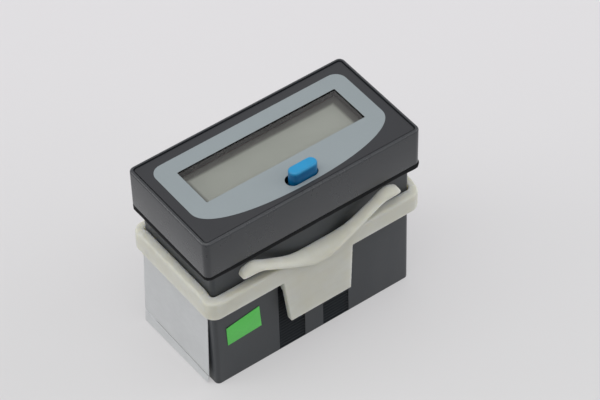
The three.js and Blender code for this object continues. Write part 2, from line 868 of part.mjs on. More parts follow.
// The clamp's closed frame, higher along its short ends, with ramps down at the corners
function clampFrame() {
  const endTopZ = clampTopZ + clampEndRise;
  const levels = [[clampBottomZ, housingEdgeChamfer], [clampBottomZ + housingEdgeChamfer, 0]];
  const round = topRound(endTopZ, clampEdgeRadius, 0, 4);
  const tall = roundedStack(clampLength, clampWidth, clampCornerRadius, [...levels, ...round]);
  const lowRound = topRound(clampTopZ, clampEdgeRadius, 0, 4);
  const low = roundedStack(clampLength, clampWidth, clampCornerRadius, [...levels, ...lowRound]);
  const rampY = clampInnerWidth / 2 - clampRampInset;
  const ends = alongX(
    [
      [-rampY - clampRampLength, clampBottomZ],
      [rampY + clampRampLength, clampBottomZ],
      [rampY + clampRampLength, clampTopZ - clampEdgeRadius],
      [rampY, endTopZ],
      [-rampY, endTopZ],
      [-rampY - clampRampLength, clampTopZ - clampEdgeRadius],
    ],
    -clampLength,
    clampLength,
  );
  const bore = roundedBlock(
    clampInnerLength,
    clampInnerWidth,
    housingCornerRadius / 2,
    clampBottomZ - cutOverrun,
    endTopZ + cutOverrun,
  );
  return low.add(tall.intersect(ends)).subtract(bore);
}

// The latch tongue under the frame: tapered, flared outwards, with a pawl on its inner face
function clampTongue() {
  const rootZ = clampBottomZ + clampHeight / 2;
  const endZ = clampBottomZ - tongueLength;
  const outerY = -clampWidth / 2;
  const innerY = outerY + tongueThickness;
  const tipY = -housingWidth / 2 - pawlReach;
  const pawlTopZ = clampBottomZ - pawlDrop;
  const pawlLowZ = pawlTopZ - pawlHeight;
  const side = alongX(
    [
      [outerY, rootZ],
      [outerY - tongueFlare, endZ],
      [innerY - tongueFlare, endZ],
      [innerY - tongueFlare * (pawlDrop + pawlHeight) / tongueLength, pawlLowZ],
      [tipY, pawlTopZ - pawlHeight * 2 / 3],
      [tipY, pawlTopZ - pawlHeight / 3],
      [innerY, pawlTopZ],
      [innerY, rootZ],
    ],
    -tongueTopWidth,
    tongueTopWidth,
  );
  const front = alongY(
    [
      [-tongueTopWidth / 2, rootZ],
      [-tongueTopWidth / 2, clampBottomZ],
      [-tongueEndWidth / 2, endZ],
      [tongueEndWidth / 2, endZ],
      [tongueTopWidth / 2, clampBottomZ],
      [tongueTopWidth / 2, rootZ],
    ],
    outerY - 2 * tongueFlare,
    tipY + cutOverrun,
  );
  return side.intersect(front);
}

// The gull-winged leaf spring: flat in the middle, two rising arms, a rounded foot on each end
function clampLeaf() {
  const footTopZ = gasketRearZ - footTopGap;
  const footLowZ = footTopZ - footHeight;
  const bellyZ = clampTopZ - leafDepth;
  const armEndZ = footTopZ - footCrown;
  const armLowZ = armEndZ - leafThickness + (footTopZ - armEndZ) / 4;
  const radius = footHeight / 2;
  const half = new THREE.Path();
  half.moveTo(0, bellyZ);
  half.lineTo(leafFlatHalf / 2, bellyZ);
  half.quadraticCurveTo(
    leafFlatHalf,
    bellyZ,
    leafFlatHalf + (footStart - leafFlatHalf) / 6,
    bellyZ + (armLowZ - bellyZ) / 6,
  );
  half.lineTo(footStart, armLowZ);
  half.quadraticCurveTo(footStart + radius / 2, footLowZ, footStart + radius, footLowZ);
  half.lineTo(footEnd - radius, footLowZ);
  half.absarc(footEnd - radius, footLowZ + radius, radius, -Math.PI / 2, Math.PI / 2);
  half.quadraticCurveTo(footStart + radius, footTopZ, footStart, armEndZ);
  half.lineTo(leafRootHalf, clampTopZ);
  half.lineTo(0, clampTopZ);
  const right = half.getPoints(arcSteps).map((point) => [point.x, point.y]);
  const left = right.slice(1, -1).reverse().map(([x, z]) => [-x, z]);
  return alongY([...right, ...left], -leafFrontY, -leafBackY).translate([leafShift, 0, 0]);
}

function makeClamp() {
  const nearSide = clampTongue().add(clampLeaf());
  return joined([clampFrame(), nearSide, farSide(nearSide)]);
}

function makeWhiteLabel() {
  const outerX = -housingLength / 2 - seatGap / 2;
  return boxBetween(
    [outerX - labelThickness, whiteLabelNearInset - housingWidth / 2, whiteLabelFootZ],
    [outerX, housingWidth / 2 - whiteLabelFarInset, clampBottomZ + whiteLabelTuck],
  );
}

// The small label on the near long side, put on a little crooked
function makeGreenLabel() {
  const centreX = greenLabelInset - housingLength / 2;
  const cos = Math.cos(greenLabelTilt * degree);
  const sin = Math.sin(greenLabelTilt * degree);
  const corners = [[-1, -1], [1, -1], [1, 1], [-1, 1]].map(([sideX, sideZ]) => {
    const x = sideX * greenLabelLength / 2;
    const z = sideZ * greenLabelHeight / 2;
    return [centreX + x * cos - z * sin, greenLabelCentreZ + x * sin + z * cos];
  });
  const face = -housingWidth / 2 - seatGap / 2;
  return alongY(corners, face - labelThickness, face);
}

const blackPlastic = 0x3a3c3f;
const brass = 0xb89a55;
const plated = 0xb9bcc0;

addPiece('front_bezel', makeBezel(), blackPlastic, 0.42);
addPiece('front_foil', makeFoil(), 0x424447, 0.5);
addPiece('silver_print', makePrint(), 0x96a0a5, 0.45);
addPiece('window_pane', makePane(), 0xe6ecec, 0.05, 0, 0.35);

const polariserLength = glassLength - 2 * polariserInset;
const polariserWidth = rearGlassWidth - polariserInset;
const frontPolariser = lcdLayer(polariserLength, polariserWidth, frontGlassTopZ + glueGap, lcdTopZ);
addPiece('lcd_front_polariser', frontPolariser, 0x94968c, 0.4);
const frontGlass = lcdLayer(glassLength, frontGlassWidth, frontGlassBottomZ, frontGlassTopZ);
addPiece('lcd_front_glass', frontGlass, 0xb8c2bc, 0.1, 0, 0.5);
const rearGlassTopZ = frontGlassBottomZ - glueGap;
const rearGlass = lcdLayer(glassLength, rearGlassWidth, rearGlassBottomZ, rearGlassTopZ);
addPiece('lcd_rear_glass', rearGlass, 0xb8c2bc, 0.1, 0, 0.5);
const reflectorTopZ = rearGlassBottomZ - glueGap;
const reflector = lcdLayer(polariserLength, polariserWidth, reflectorBottomZ, reflectorTopZ);
addPiece('lcd_reflector', reflector, 0x9a9c8e, 0.5);
addPiece('zebra_strip_lower', zebraStrip(-1), 0x8a2f2a, 0.7);
addPiece('zebra_strip_upper', zebraStrip(1), 0x8a2f2a, 0.7);
addPiece('lcd_holder', makeHolder(), 0xd9d8d0, 0.6);

addPiece('circuit_board', makeBoard(), 0x1f5a36, 0.5);
addPiece('counter_chip', makeChip(), 0x232426, 0.5);
addPiece('crystal', makeCrystal(), plated, 0.3, 1);
capacitorShares.forEach((share, i) => {
  addPiece(`chip_capacitor_${i + 1}`, smallPart(share, -1, capacitorSize), 0xa88b63, 0.6);
});
resistorShares.forEach((share, i) => {
  addPiece(`chip_resistor_${i + 1}`, smallPart(share, 1, resistorSize), 0x2a2b2e, 0.6);
});

addPiece('reset_button', makeButton(), 0x2e8fd0, 0.4);
addPiece('button_dome', makeDome(), 0xc9c9c4, 0.8);

addPiece('lithium_cell', makeCell(), 0x4d6a8f, 0.4);
addPiece('cell_tab_positive', cellTab(1), plated, 0.3, 1);
addPiece('cell_tab_negative', cellTab(-1), plated, 0.3, 1);

addPiece('housing', makeHousing(), blackPlastic, 0.45);
addPiece('panel_gasket', makeGasket(), 0x1d1e20, 0.9);
addPiece('mounting_clamp', makeClamp(), 0xc6c6b8, 0.6);
addPiece('white_label', makeWhiteLabel(), 0xd2d3d4, 0.6);
addPiece('green_label', makeGreenLabel(), 0x5cb45a, 0.6);

addPiece('terminal_block', makeTerminalBlock(), 0x2b2c2e, 0.6);
for (let bay = 0; bay < bayCount; bay += 1) {
  addPiece(`terminal_contact_${bay + 1}`, terminalContact(bay), brass, 0.35, 1);
  addPiece(`clamp_plate_${bay + 1}`, clampPlate(bay), plated, 0.35, 1);
  addPiece(`terminal_screw_${bay + 1}`, terminalScrew(bay), plated, 0.3, 1);
}

export default counter;
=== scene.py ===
import math

import bmesh
import bpy
from mathutils import Matrix, Vector, noise


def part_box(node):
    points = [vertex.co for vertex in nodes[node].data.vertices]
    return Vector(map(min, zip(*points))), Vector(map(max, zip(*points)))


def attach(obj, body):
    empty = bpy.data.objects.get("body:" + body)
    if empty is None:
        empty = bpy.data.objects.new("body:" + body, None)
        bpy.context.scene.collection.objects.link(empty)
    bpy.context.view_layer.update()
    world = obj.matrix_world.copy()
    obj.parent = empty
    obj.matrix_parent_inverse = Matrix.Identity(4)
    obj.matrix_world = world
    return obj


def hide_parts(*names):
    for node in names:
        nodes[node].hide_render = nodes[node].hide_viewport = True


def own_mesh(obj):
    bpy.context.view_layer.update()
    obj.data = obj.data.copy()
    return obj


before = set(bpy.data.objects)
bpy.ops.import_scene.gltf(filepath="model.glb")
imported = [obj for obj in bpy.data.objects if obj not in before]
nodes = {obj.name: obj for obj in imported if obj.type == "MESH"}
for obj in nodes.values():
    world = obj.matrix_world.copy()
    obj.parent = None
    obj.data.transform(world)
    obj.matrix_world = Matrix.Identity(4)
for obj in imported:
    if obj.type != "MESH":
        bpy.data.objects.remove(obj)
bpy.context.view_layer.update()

scene = bpy.context.scene
mm = 0.001  # shapes are drawn in millimetres and scaled once when a piece is done
tau = 2 * math.pi


# mesh tools

def rounded(length, width, radius, steps=10):
    # outline of a rectangle with round corners, anticlockwise
    radius = max(radius, 0.01)
    points = []
    for corner, (sideX, sideY) in enumerate(((1, 1), (-1, 1), (-1, -1), (1, -1))):
        for step in range(steps + 1):
            turn = (corner + step / steps) * tau / 4
            points.append((sideX * (length / 2 - radius) + radius * math.cos(turn),
                           sideY * (width / 2 - radius) + radius * math.sin(turn)))
    return points


def newPiece(name, verts, faces):
    mesh = bpy.data.meshes.new(name)
    mesh.from_pydata([tuple(v) for v in verts], [], faces)
    mesh.validate()
    piece = bpy.data.objects.new(name, mesh)
    scene.collection.objects.link(piece)
    return piece


def loft(name, rings, closed=False):
    # rings of equal count, each a list of (x, y, z); closed joins the last ring to the first
    count = len(rings[0])
    verts = [p for ring in rings for p in ring]
    faces = []
    spans = len(rings) if closed else len(rings) - 1
    for level in range(spans):
        a, b = level * count, (level + 1) % len(rings) * count
        for i in range(count):
            j = (i + 1) % count
            faces.append((a + i, a + j, b + j, b + i))
    if not closed:
        faces.append(tuple(reversed(range(count))))
        faces.append(tuple(range((len(rings) - 1) * count, len(rings) * count)))
    piece = newPiece(name, verts, faces)
    tidyNormals(piece)
    return piece


def tidyNormals(piece):
    shape = bmesh.new()
    shape.from_mesh(piece.data)
    bmesh.ops.recalc_face_normals(shape, faces=shape.faces)
    shape.to_mesh(piece.data)
    shape.free()


def stack(name, length, width, radius, levels, steps=10, shift=(0, 0)):
    # a rounded block whose outline shrinks by an inset at each level
    rings = []
    for z, inset in levels:
        outline = rounded(length - 2 * inset, width - 2 * inset, radius - inset, steps)
        rings.append([(x + shift[0], y + shift[1], z) for x, y in outline])
    return loft(name, rings)


def roundOver(z, radius, inset, steps=6):
    # levels of a convex edge that ends at height z
    turns = [step / steps * tau / 4 for step in range(steps + 1)]
    return [(z - radius * (1 - math.sin(turn)), inset + radius * (1 - math.cos(turn))) for turn in turns]


def roundUnder(z, radius, inset=0, steps=4):
    # levels of a convex edge that starts at height z
    return [(2 * z - level, gap) for level, gap in reversed(roundOver(z, radius, inset, steps))]


def prism(name, outline, low, high, axis="z"):
    # a flat outline pushed from low to high along x or z
    def place(u, v, w):
        return (w, u, v) if axis == "x" else (u, v, w)
    return loft(name, [[place(u, v, low) for u, v in outline], [place(u, v, high) for u, v in outline]])


def applied(piece):
    # the piece with its modifiers made part of its mesh
    graph = bpy.context.evaluated_depsgraph_get()
    mesh = bpy.data.meshes.new_from_object(piece.evaluated_get(graph))
    piece.modifiers.clear()
    piece.data = mesh
    return piece


def modified(piece, kind, **settings):
    # the piece after one modifier
    step = piece.modifiers.new("step", kind)
    for key, value in settings.items():
        setattr(step, key, value)
    return applied(piece)


def cutOut(piece, others):
    for other in others:
        modified(piece, "BOOLEAN", operation="DIFFERENCE", object=other, solver="EXACT")
        bpy.data.objects.remove(other)


def denser(outline, step):
    # the same closed outline with points no further apart than about step
    points = []
    for a, b in zip(outline, outline[1:] + outline[:1]):
        cuts = max(1, round(math.dist(a, b) / step))
        points += [tuple(p + (q - p) * i / cuts for p, q in zip(a, b)) for i in range(cuts)]
    return points


def gathered(piece, others):
    # several closed shells in one mesh, for a remesh to unite
    shape = bmesh.new()
    for part in [piece] + others:
        shape.from_mesh(part.data)
    shape.to_mesh(piece.data)
    shape.free()
    for other in others:
        bpy.data.objects.remove(other)
    return piece


def bevelled(piece, width, angle, clamped=True):
    step = piece.modifiers.new("edges", "BEVEL")
    step.width = width
    step.segments = 2
    step.limit_method = "ANGLE"
    step.angle_limit = math.radians(angle)
    step.use_clamp_overlap = clamped
    step.harden_normals = clamped


def finishPiece(piece, material, body, replaced, angle=32):
    piece.data.transform(Matrix.Scale(mm, 4))
    for face in piece.data.polygons:
        face.use_smooth = True
    piece.data.set_sharp_from_angle(angle=math.radians(angle))
    piece.data.materials.clear()
    piece.data.materials.append(material)
    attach(piece, body)
    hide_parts(*replaced)


# material tools

def put(node, **values):
    # fixed values into a node's sockets
    for name, value in values.items():
        node.inputs[name.replace("_", " ")].default_value = value


class Wiring:
    # short words for adding and joining shader nodes
    def __init__(self, tree, coordinates):
        self.tree = tree
        self.place = self.add("ShaderNodeTexCoord").outputs[coordinates]

    def add(self, kind, **settings):
        node = self.tree.nodes.new(kind)
        for key, value in settings.items():
            setattr(node, key, value)
        return node

    def wire(self, source, target):
        self.tree.links.new(source, target)

    def fill(self, socket, value):
        if isinstance(value, (int, float)):
            socket.default_value = value
        elif isinstance(value, tuple):
            socket.default_value = (*value[:3], 1)
        else:
            self.wire(value, socket)

    def axes(self):
        split = self.add("ShaderNodeSeparateXYZ")
        self.wire(self.place, split.inputs[0])
        return split.outputs

    def math(self, operation, first, second=0.5):
        node = self.add("ShaderNodeMath", operation=operation)
        for socket, value in zip(node.inputs, (first, second)):
            self.fill(socket, value)
        return node.outputs["Value"]

    def ramp(self, value, low, high, start=0.0, end=1.0, curve="LINEAR"):
        node = self.add("ShaderNodeMapRange", interpolation_type=curve)
        put(node, From_Min=low, From_Max=high, To_Min=start, To_Max=end)
        self.wire(value, node.inputs["Value"])
        return node.outputs["Result"]


class Paint(Wiring):
    # the nodes round one principled shader
    def __init__(self, name, color, roughness, metallic=0.0, **fixed):
        self.material = bpy.data.materials.new(name)
        self.material.use_nodes = True
        super().__init__(self.material.node_tree, "Object")
        self.shader = self.tree.nodes["Principled BSDF"]
        put(self.shader, Base_Color=(*color, 1), Roughness=roughness, Metallic=metallic, **fixed)

    def stretched(self, factors):
        node = self.add("ShaderNodeMapping")
        put(node, Scale=factors)
        self.wire(self.place, node.inputs["Vector"])
        return node.outputs["Vector"]

    def grain(self, size, detail=3.0, rough=0.55, vector=None, warp=0.0):
        # noise whose features are about size metres across
        node = self.add("ShaderNodeTexNoise")
        put(node, Scale=1 / size, Detail=detail, Roughness=rough, Distortion=warp)
        self.wire(vector or self.place, node.inputs["Vector"])
        return node.outputs["Fac"]

    def cells(self, size, vector=None):
        node = self.add("ShaderNodeTexVoronoi")
        put(node, Scale=1 / size)
        self.wire(vector or self.place, node.inputs["Vector"])
        return node.outputs["Distance"]

    def mix(self, factor, first, second):
        node = self.add("ShaderNodeMix", data_type="RGBA", blend_type="MIX")
        for slot, value in ((0, factor), (6, first), (7, second)):
            self.fill(node.inputs[slot], value)
        return node.outputs[2]

    def edges(self, radius):
        # 0 on flat faces, rising to 1 on convex edges and in corners
        bevel = self.add("ShaderNodeBevel", samples=4)
        put(bevel, Radius=radius)
        dot = self.add("ShaderNodeVectorMath", operation="DOT_PRODUCT")
        self.wire(bevel.outputs["Normal"], dot.inputs[0])
        self.wire(self.add("ShaderNodeNewGeometry").outputs["Normal"], dot.inputs[1])
        return self.ramp(dot.outputs["Value"], 0.995, 0.9)

    def tone(self, value):
        self.wire(value, self.shader.inputs["Base Color"])

    def gloss(self, value):
        self.wire(value, self.shader.inputs["Roughness"])

    def bumps(self, *layers):
        # each layer is (height, distance in metres, strength)
        normal = None
        for height, distance, strength in layers:
            node = self.add("ShaderNodeBump")
            put(node, Strength=strength, Distance=distance)
            self.wire(height, node.inputs["Height"])
            if normal:
                self.wire(normal, node.inputs["Normal"])
            normal = node.outputs["Normal"]
        self.wire(normal, self.shader.inputs["Normal"])


def shade(color, factor):
    return tuple(min(1.0, c * factor) for c in color)


def srgb(red, green, blue):
    # 0 to 255 screen values to scene values
    def one(value):
        value /= 255
        return value / 12.92 if value <= 0.04045 else ((value + 0.055) / 1.055) ** 2.4
    return (one(red), one(green), one(blue))


def mouldedPlastic(name, color, roughness, texture=0.00009, depth=0.000004, wearAndHighlight=0.25, inner=None, **fixed):
    # spark-textured moulding: fine grain, cloudy tone, slightly polished edges painted lighter, partly wear and
    # partly a painted highlight; inner is a half length and a half width within which nothing is touched or worn,
    # and the tone
    # there, darker and warmer: painted shade on the recess walls inside it
    paint = Paint(name, color, roughness, **fixed)
    cloud = paint.grain(0.011, detail=4)
    fine = paint.grain(texture, detail=2, rough=0.6)
    speck = paint.cells(texture * 2.2)
    edge = paint.math("MULTIPLY", paint.edges(0.00022), paint.ramp(paint.grain(0.0012), 0.35, 0.65))
    if inner:
        axes = paint.axes()
        beyond = [paint.math("SUBTRACT", paint.math("ABSOLUTE", axes[axis]), half)
                  for axis, half in zip("XY", inner)]
        outside = paint.ramp(paint.math("MAXIMUM", *beyond), 0, 0.0003)
        edge = paint.math("MULTIPLY", edge, outside)
    tone = paint.mix(paint.ramp(cloud, 0.35, 0.65), shade(color, 0.93), shade(color, 1.07))
    tone = paint.mix(paint.ramp(fine, 0.4, 0.7, 0, 0.5), tone, shade(color, 0.86))
    # convex edges lighter: partly real wear, partly a painted highlight on the rims
    tone = paint.mix(paint.math("MULTIPLY", edge, wearAndHighlight), tone, shade(color, 1.9))
    if inner:
        # inside the inner box one darker, warmer tone: painted shade on the recess walls
        tone = paint.mix(outside, inner[2], tone)
    paint.tone(tone)
    streak = paint.grain(0.004, detail=6, vector=paint.stretched((1, 0.25, 0.4)))
    rough = paint.math("ADD", paint.ramp(streak, 0.3, 0.7, -0.04, 0.04), roughness)
    paint.gloss(paint.math("SUBTRACT", rough, paint.math("MULTIPLY", edge, 0.08)))
    paint.bumps((fine, depth, 0.6), (speck, depth * 1.5, 0.35), (cloud, 0.000008, 0.2))
    return paint.material


def dressNode(name, material, edge):
    # a CAD node keeps its mesh and gets fine rounded edges and a finish
    node = nodes[name]
    node.data.materials.clear()
    node.data.materials.append(material)
    for face in node.data.polygons:
        face.material_index = 0
    weld = node.modifiers.new("weld", "WELD")
    weld.merge_threshold = 0.000002
    if edge:
        bevelled(node, edge, 40)


print("tools ready")

# camera, floor and light

photoView = {
    "eye": (-0.20854, -0.30196, 0.40986), "azimuth": -35.299, "elevation": 46.275, "roll": -1.718,
    "lens": 173.09, "sensor": 36, "nearest": 0.01, "furthest": 20,
}


def makeCamera(values):
    turn, rise, roll = (math.radians(values[key]) for key in ("azimuth", "elevation", "roll"))
    back = Vector((math.sin(turn) * math.cos(rise), -math.cos(turn) * math.cos(rise), math.sin(rise)))
    right = Vector((math.cos(turn), math.sin(turn), 0))
    up = back.cross(right)
    tiltedRight = right * math.cos(roll) + up * math.sin(roll)
    tiltedUp = up * math.cos(roll) - right * math.sin(roll)
    lens = bpy.data.cameras.new("camera")
    lens.lens = values["lens"]
    lens.sensor_width = values["sensor"]
    lens.clip_start = values["nearest"]
    lens.clip_end = values["furthest"]
    camera = bpy.data.objects.new("camera", lens)
    camera.matrix_world = Matrix((tiltedRight, tiltedUp, back)).transposed().to_4x4()
    camera.location = values["eye"]
    scene.collection.objects.link(camera)
    scene.camera = camera


makeCamera(photoView)

studio = {
    "floorHalf": 4, "floorGap": 0.00004, "floorNear": (0.3, 0.298, 0.299), "floorFar": (0.34, 0.331, 0.34),
    "floorGlow": 0.37, "away": (0.578, 0.816), "fade": (-0.05, 0.16),
    "ambient": (0.95, 0.97, 1.0), "horizon": 0.06, "dome": 0.72, "domeFrom": 0.5,
    "viewer": (-0.57, -0.82), "viewerFade": (0.2, 0.9), "viewerShade": 0.15,
    "backdrop": (0.775, 0.76, 0.77),
}
lamps = {
    # name: (place, target, size, power, colour)
    "overhead": ((-0.25, -0.08, 1.0), (0, 0, 0.02), 1.3, 4.9, (1.0, 0.99, 0.97)),
    "leftWindow": ((-0.78, 0.42, 0.42), (0, 0, 0.02), 0.6, 1.7, (1.0, 0.99, 0.98)),
    "farRight": ((0.78, -0.4, 0.52), (0, 0, 0.02), 0.6, 2.0, (0.97, 0.98, 1.0)),
    "nearRim": ((0.34, -0.72, 0.55), (0, 0, 0.03), 0.2, 0.35, (1.0, 1.0, 1.0)),
    "farRim": ((-0.75, 0.55, 0.42), (0, 0, 0.03), 0.2, 0.3, (1.0, 1.0, 1.0)),
}


def makeFloor(values):
    half = values["floorHalf"]
    corners = [(-half, -half, 0), (half, -half, 0), (half, half, 0), (-half, half, 0)]
    floor = newPiece("floor", corners, [(0, 1, 2, 3)])
    floor.location.z = -values["floorGap"]
    paint = Paint("floorPaper", values["floorNear"], 0.9, Specular_IOR_Level=0.1)
    axes = paint.axes()
    away = [paint.math("MULTIPLY", axes[axis], part) for axis, part in zip("XY", values["away"])]
    along = paint.ramp(paint.math("ADD", *away), *values["fade"])
    tone = paint.mix(along, values["floorNear"], values["floorFar"])
    paint.tone(tone)
    paint.wire(tone, paint.shader.inputs["Emission Color"])
    put(paint.shader, Emission_Strength=values["floorGlow"] / values["floorNear"][1])
    floor.data.materials.append(paint.material)


def makeWorld(values):
    # a room: bright above, dark at the horizon and behind the viewer, with a plain backdrop where it is seen
    world = bpy.data.worlds.new("studio")
    scene.world = world
    world.use_nodes = True
    room = Wiring(world.node_tree, "Generated")
    light = room.tree.nodes["Background"]
    room.fill(light.inputs["Color"], values["ambient"])
    axes = room.axes()
    facing = [room.math("MULTIPLY", axes[axis], part) for axis, part in zip("XY", values["viewer"])]
    dome = room.ramp(axes["Z"], 0.0, values["domeFrom"], values["horizon"], values["dome"], "SMOOTHSTEP")
    behind = room.ramp(room.math("ADD", *facing), *values["viewerFade"], 1.0, values["viewerShade"], "SMOOTHSTEP")
    room.wire(room.math("MULTIPLY", dome, behind), light.inputs["Strength"])
    seen = room.add("ShaderNodeBackground")
    room.fill(seen.inputs["Color"], values["backdrop"])
    rays = room.add("ShaderNodeLightPath").outputs
    mirrored = room.math("MAXIMUM", rays["Is Glossy Ray"], rays["Is Transmission Ray"])
    blend = room.add("ShaderNodeMixShader")
    for source, target in zip((room.math("MAXIMUM", rays["Is Camera Ray"], mirrored), light.outputs[0],
                               seen.outputs[0]), blend.inputs):
        room.wire(source, target)
    room.wire(blend.outputs[0], room.tree.nodes["World Output"].inputs["Surface"])


def makeLamps(table):
    for name, (place, target, size, power, color) in table.items():
        light = bpy.data.lights.new(name, "AREA")
        light.shape = "DISK"
        light.size = size
        light.energy = power
        light.color = color
        lamp = bpy.data.objects.new(name, light)
        lamp.location = place
        lamp.rotation_mode = "QUATERNION"
        lamp.rotation_quaternion = (Vector(target) - Vector(place)).to_track_quat("-Z", "Y")
        scene.collection.objects.link(lamp)


makeFloor(studio)
makeWorld(studio)
makeLamps(lamps)
scene.view_settings.view_transform = "Standard"
print("camera and studio ready")

# materials

# the bezel's window and slot walls are painted darker and warmer: painted shade
blackMould = mouldedPlastic("blackMould", srgb(44, 47, 51), 0.28, inner=(0.0225, 0.011, srgb(30, 28, 22)),
                            Specular_IOR_Level=0.6)
housingMould = mouldedPlastic("housingMould", srgb(49, 53, 57), 0.42, texture=0.00012, depth=0.000006)
blockMould = mouldedPlastic("blockMould", srgb(38, 39, 41), 0.55)
holderMould = mouldedPlastic("holderMould", srgb(205, 204, 196), 0.55, wearAndHighlight=0.0)


def clampMaterial():
    # unfilled nylon: slightly see-through, waxy, with faint flow clouds
    color = srgb(210, 211, 202)
    paint = Paint("naturalNylon", color, 0.58, Subsurface_Weight=1.0, Subsurface_Scale=0.003,
                  Subsurface_Radius=(1.0, 0.95, 0.75), Specular_IOR_Level=0.35)
    cloud = paint.grain(0.006, detail=5, warp=0.4)
    fine = paint.grain(0.0002, detail=3)
    flow = paint.grain(0.0015, detail=4, vector=paint.stretched((0.25, 1, 1)))
    tone = paint.mix(paint.ramp(cloud, 0.3, 0.7), srgb(206, 205, 193), srgb(212, 212, 203))
    tone = paint.mix(paint.ramp(flow, 0.45, 0.75, 0, 0.35), tone, srgb(201, 199, 184))
    paint.tone(tone)
    paint.gloss(paint.ramp(cloud, 0.3, 0.7, 0.52, 0.64))
    paint.bumps((fine, 0.000006, 0.5), (flow, 0.00002, 0.25))
    return paint.material


def foilMaterial():
    # reverse-printed matt film
    color = srgb(35, 37, 41)
    paint = Paint("foilFilm", color, 0.42)
    fine = paint.grain(0.00007, detail=2)
    cloud = paint.grain(0.009, detail=3)
    tone = paint.mix(paint.ramp(cloud, 0.35, 0.65), shade(color, 0.95), shade(color, 1.05))
    paint.tone(paint.mix(paint.ramp(fine, 0.45, 0.7, 0, 0.35), tone, shade(color, 0.8)))
    paint.gloss(paint.ramp(cloud, 0.3, 0.7, 0.38, 0.46))
    paint.bumps((fine, 0.000003, 0.6))
    return paint.material


def silverMaterial():
    # metallic grey screen ink: fine flakes in a clear binder
    color = srgb(145, 154, 157)
    paint = Paint("silverInk", color, 0.45, 0.25)
    flakes = paint.cells(0.00005)
    fine = paint.grain(0.00012, detail=3)
    cloud = paint.grain(0.012, detail=3)
    tone = paint.mix(paint.ramp(flakes, 0.1, 0.7), shade(color, 1.08), shade(color, 0.92))
    paint.tone(paint.mix(paint.ramp(cloud, 0.35, 0.65, 0, 0.4), tone, shade(color, 1.04)))
    paint.gloss(paint.ramp(fine, 0.35, 0.65, 0.4, 0.5))
    paint.bumps((fine, 0.000002, 0.5))
    return paint.material


def paneMaterial(name, ior):
    # thin clear sheet: reflects by Fresnel and lets the rest through
    paint = Paint(name, (1, 1, 1), 0.04, 1.0)
    fresnel = paint.add("ShaderNodeFresnel")
    put(fresnel, IOR=ior)
    smear = paint.grain(0.006, detail=4)
    paint.gloss(paint.ramp(smear, 0.3, 0.8, 0.05, 0.1))
    mirror = paint.math("ADD", fresnel.outputs[0], paint.ramp(smear, 0.3, 0.9, 0.0, 0.02))
    inside = paint.add("ShaderNodeNewGeometry").outputs["Backfacing"]
    mirror = paint.math("MULTIPLY", mirror, paint.math("SUBTRACT", 1.0, inside))
    paint.wire(mirror, paint.shader.inputs["Alpha"])
    return paint.material


def polariserMaterial(frameLow, frameHigh, frameShadeWidth):
    # grey-green film over a pearly cell; a soft band along the window frame is painted darker: painted shade of
    # the frame
    color = srgb(139, 142, 133)
    paint = Paint("polariserFilm", color, 0.4)
    axes = paint.axes()
    inner = None
    for axis, low, high in (("X", frameLow[0], frameHigh[0]), ("Y", frameLow[1], frameHigh[1])):
        half, centre = (high - low) / 2, (high + low) / 2
        away = paint.math("ABSOLUTE", paint.math("SUBTRACT", axes[axis], centre))
        inside = paint.math("SUBTRACT", half, away)
        inner = paint.math("MINIMUM", inner, inside) if inner else inside
    pearl = paint.grain(0.00006, detail=2)
    cloud = paint.grain(0.014, detail=2)
    tone = paint.mix(paint.ramp(cloud, 0.3, 0.7), shade(color, 0.97), shade(color, 1.03))
    tone = paint.mix(paint.ramp(pearl, 0.4, 0.7, 0, 0.4), tone, shade(color, 0.93))
    # darker band along the frame's edges: painted shade
    lit = paint.ramp(inner, frameShadeWidth - 0.0003, frameShadeWidth + 0.0004)
    paint.tone(paint.mix(lit, srgb(74, 74, 69), tone))
    paint.gloss(paint.ramp(pearl, 0.3, 0.7, 0.36, 0.44))
    return paint.material


def buttonMaterial(capHeight):
    # blue plastic: its colour on the cap, and below the cap the sides painted darker: painted shade down the sides
    color, paintedSideShade = srgb(22, 138, 188), srgb(8, 94, 146)
    paint = Paint("blueButton", color, 0.34, Specular_IOR_Level=0.45)
    cap = paint.ramp(paint.axes()["Z"], capHeight - 0.0008, capHeight - 0.0001)
    cloud = paint.grain(0.002, detail=3)
    fine = paint.grain(0.00009, detail=2)
    # sides below the cap take the darker blue: painted shade
    tone = paint.mix(cap, paintedSideShade, color)
    paint.tone(paint.mix(paint.ramp(cloud, 0.3, 0.7, 0, 0.25), tone, srgb(36, 150, 206)))
    paint.gloss(paint.ramp(fine, 0.3, 0.7, 0.28, 0.38))
    paint.bumps((fine, 0.000003, 0.5), (cloud, 0.00002, 0.3))
    return paint.material


def gasketMaterial():
    # cellular rubber: open pores on its cut edge
    color = srgb(15, 16, 18)
    paint = Paint("cellRubber", color, 0.9, Specular_IOR_Level=0.2)
    pores = paint.cells(0.00018)
    fine = paint.grain(0.00008, detail=3)
    tone = paint.mix(paint.ramp(pores, 0.15, 0.6), shade(color, 0.6), shade(color, 1.5))
    paint.tone(paint.mix(paint.ramp(fine, 0.4, 0.7, 0, 0.4), tone, shade(color, 0.7)))
    paint.gloss(paint.ramp(fine, 0.3, 0.7, 0.75, 0.95))
    paint.bumps((pores, 0.00003, 0.7), (fine, 0.00001, 0.5))
    return paint.material


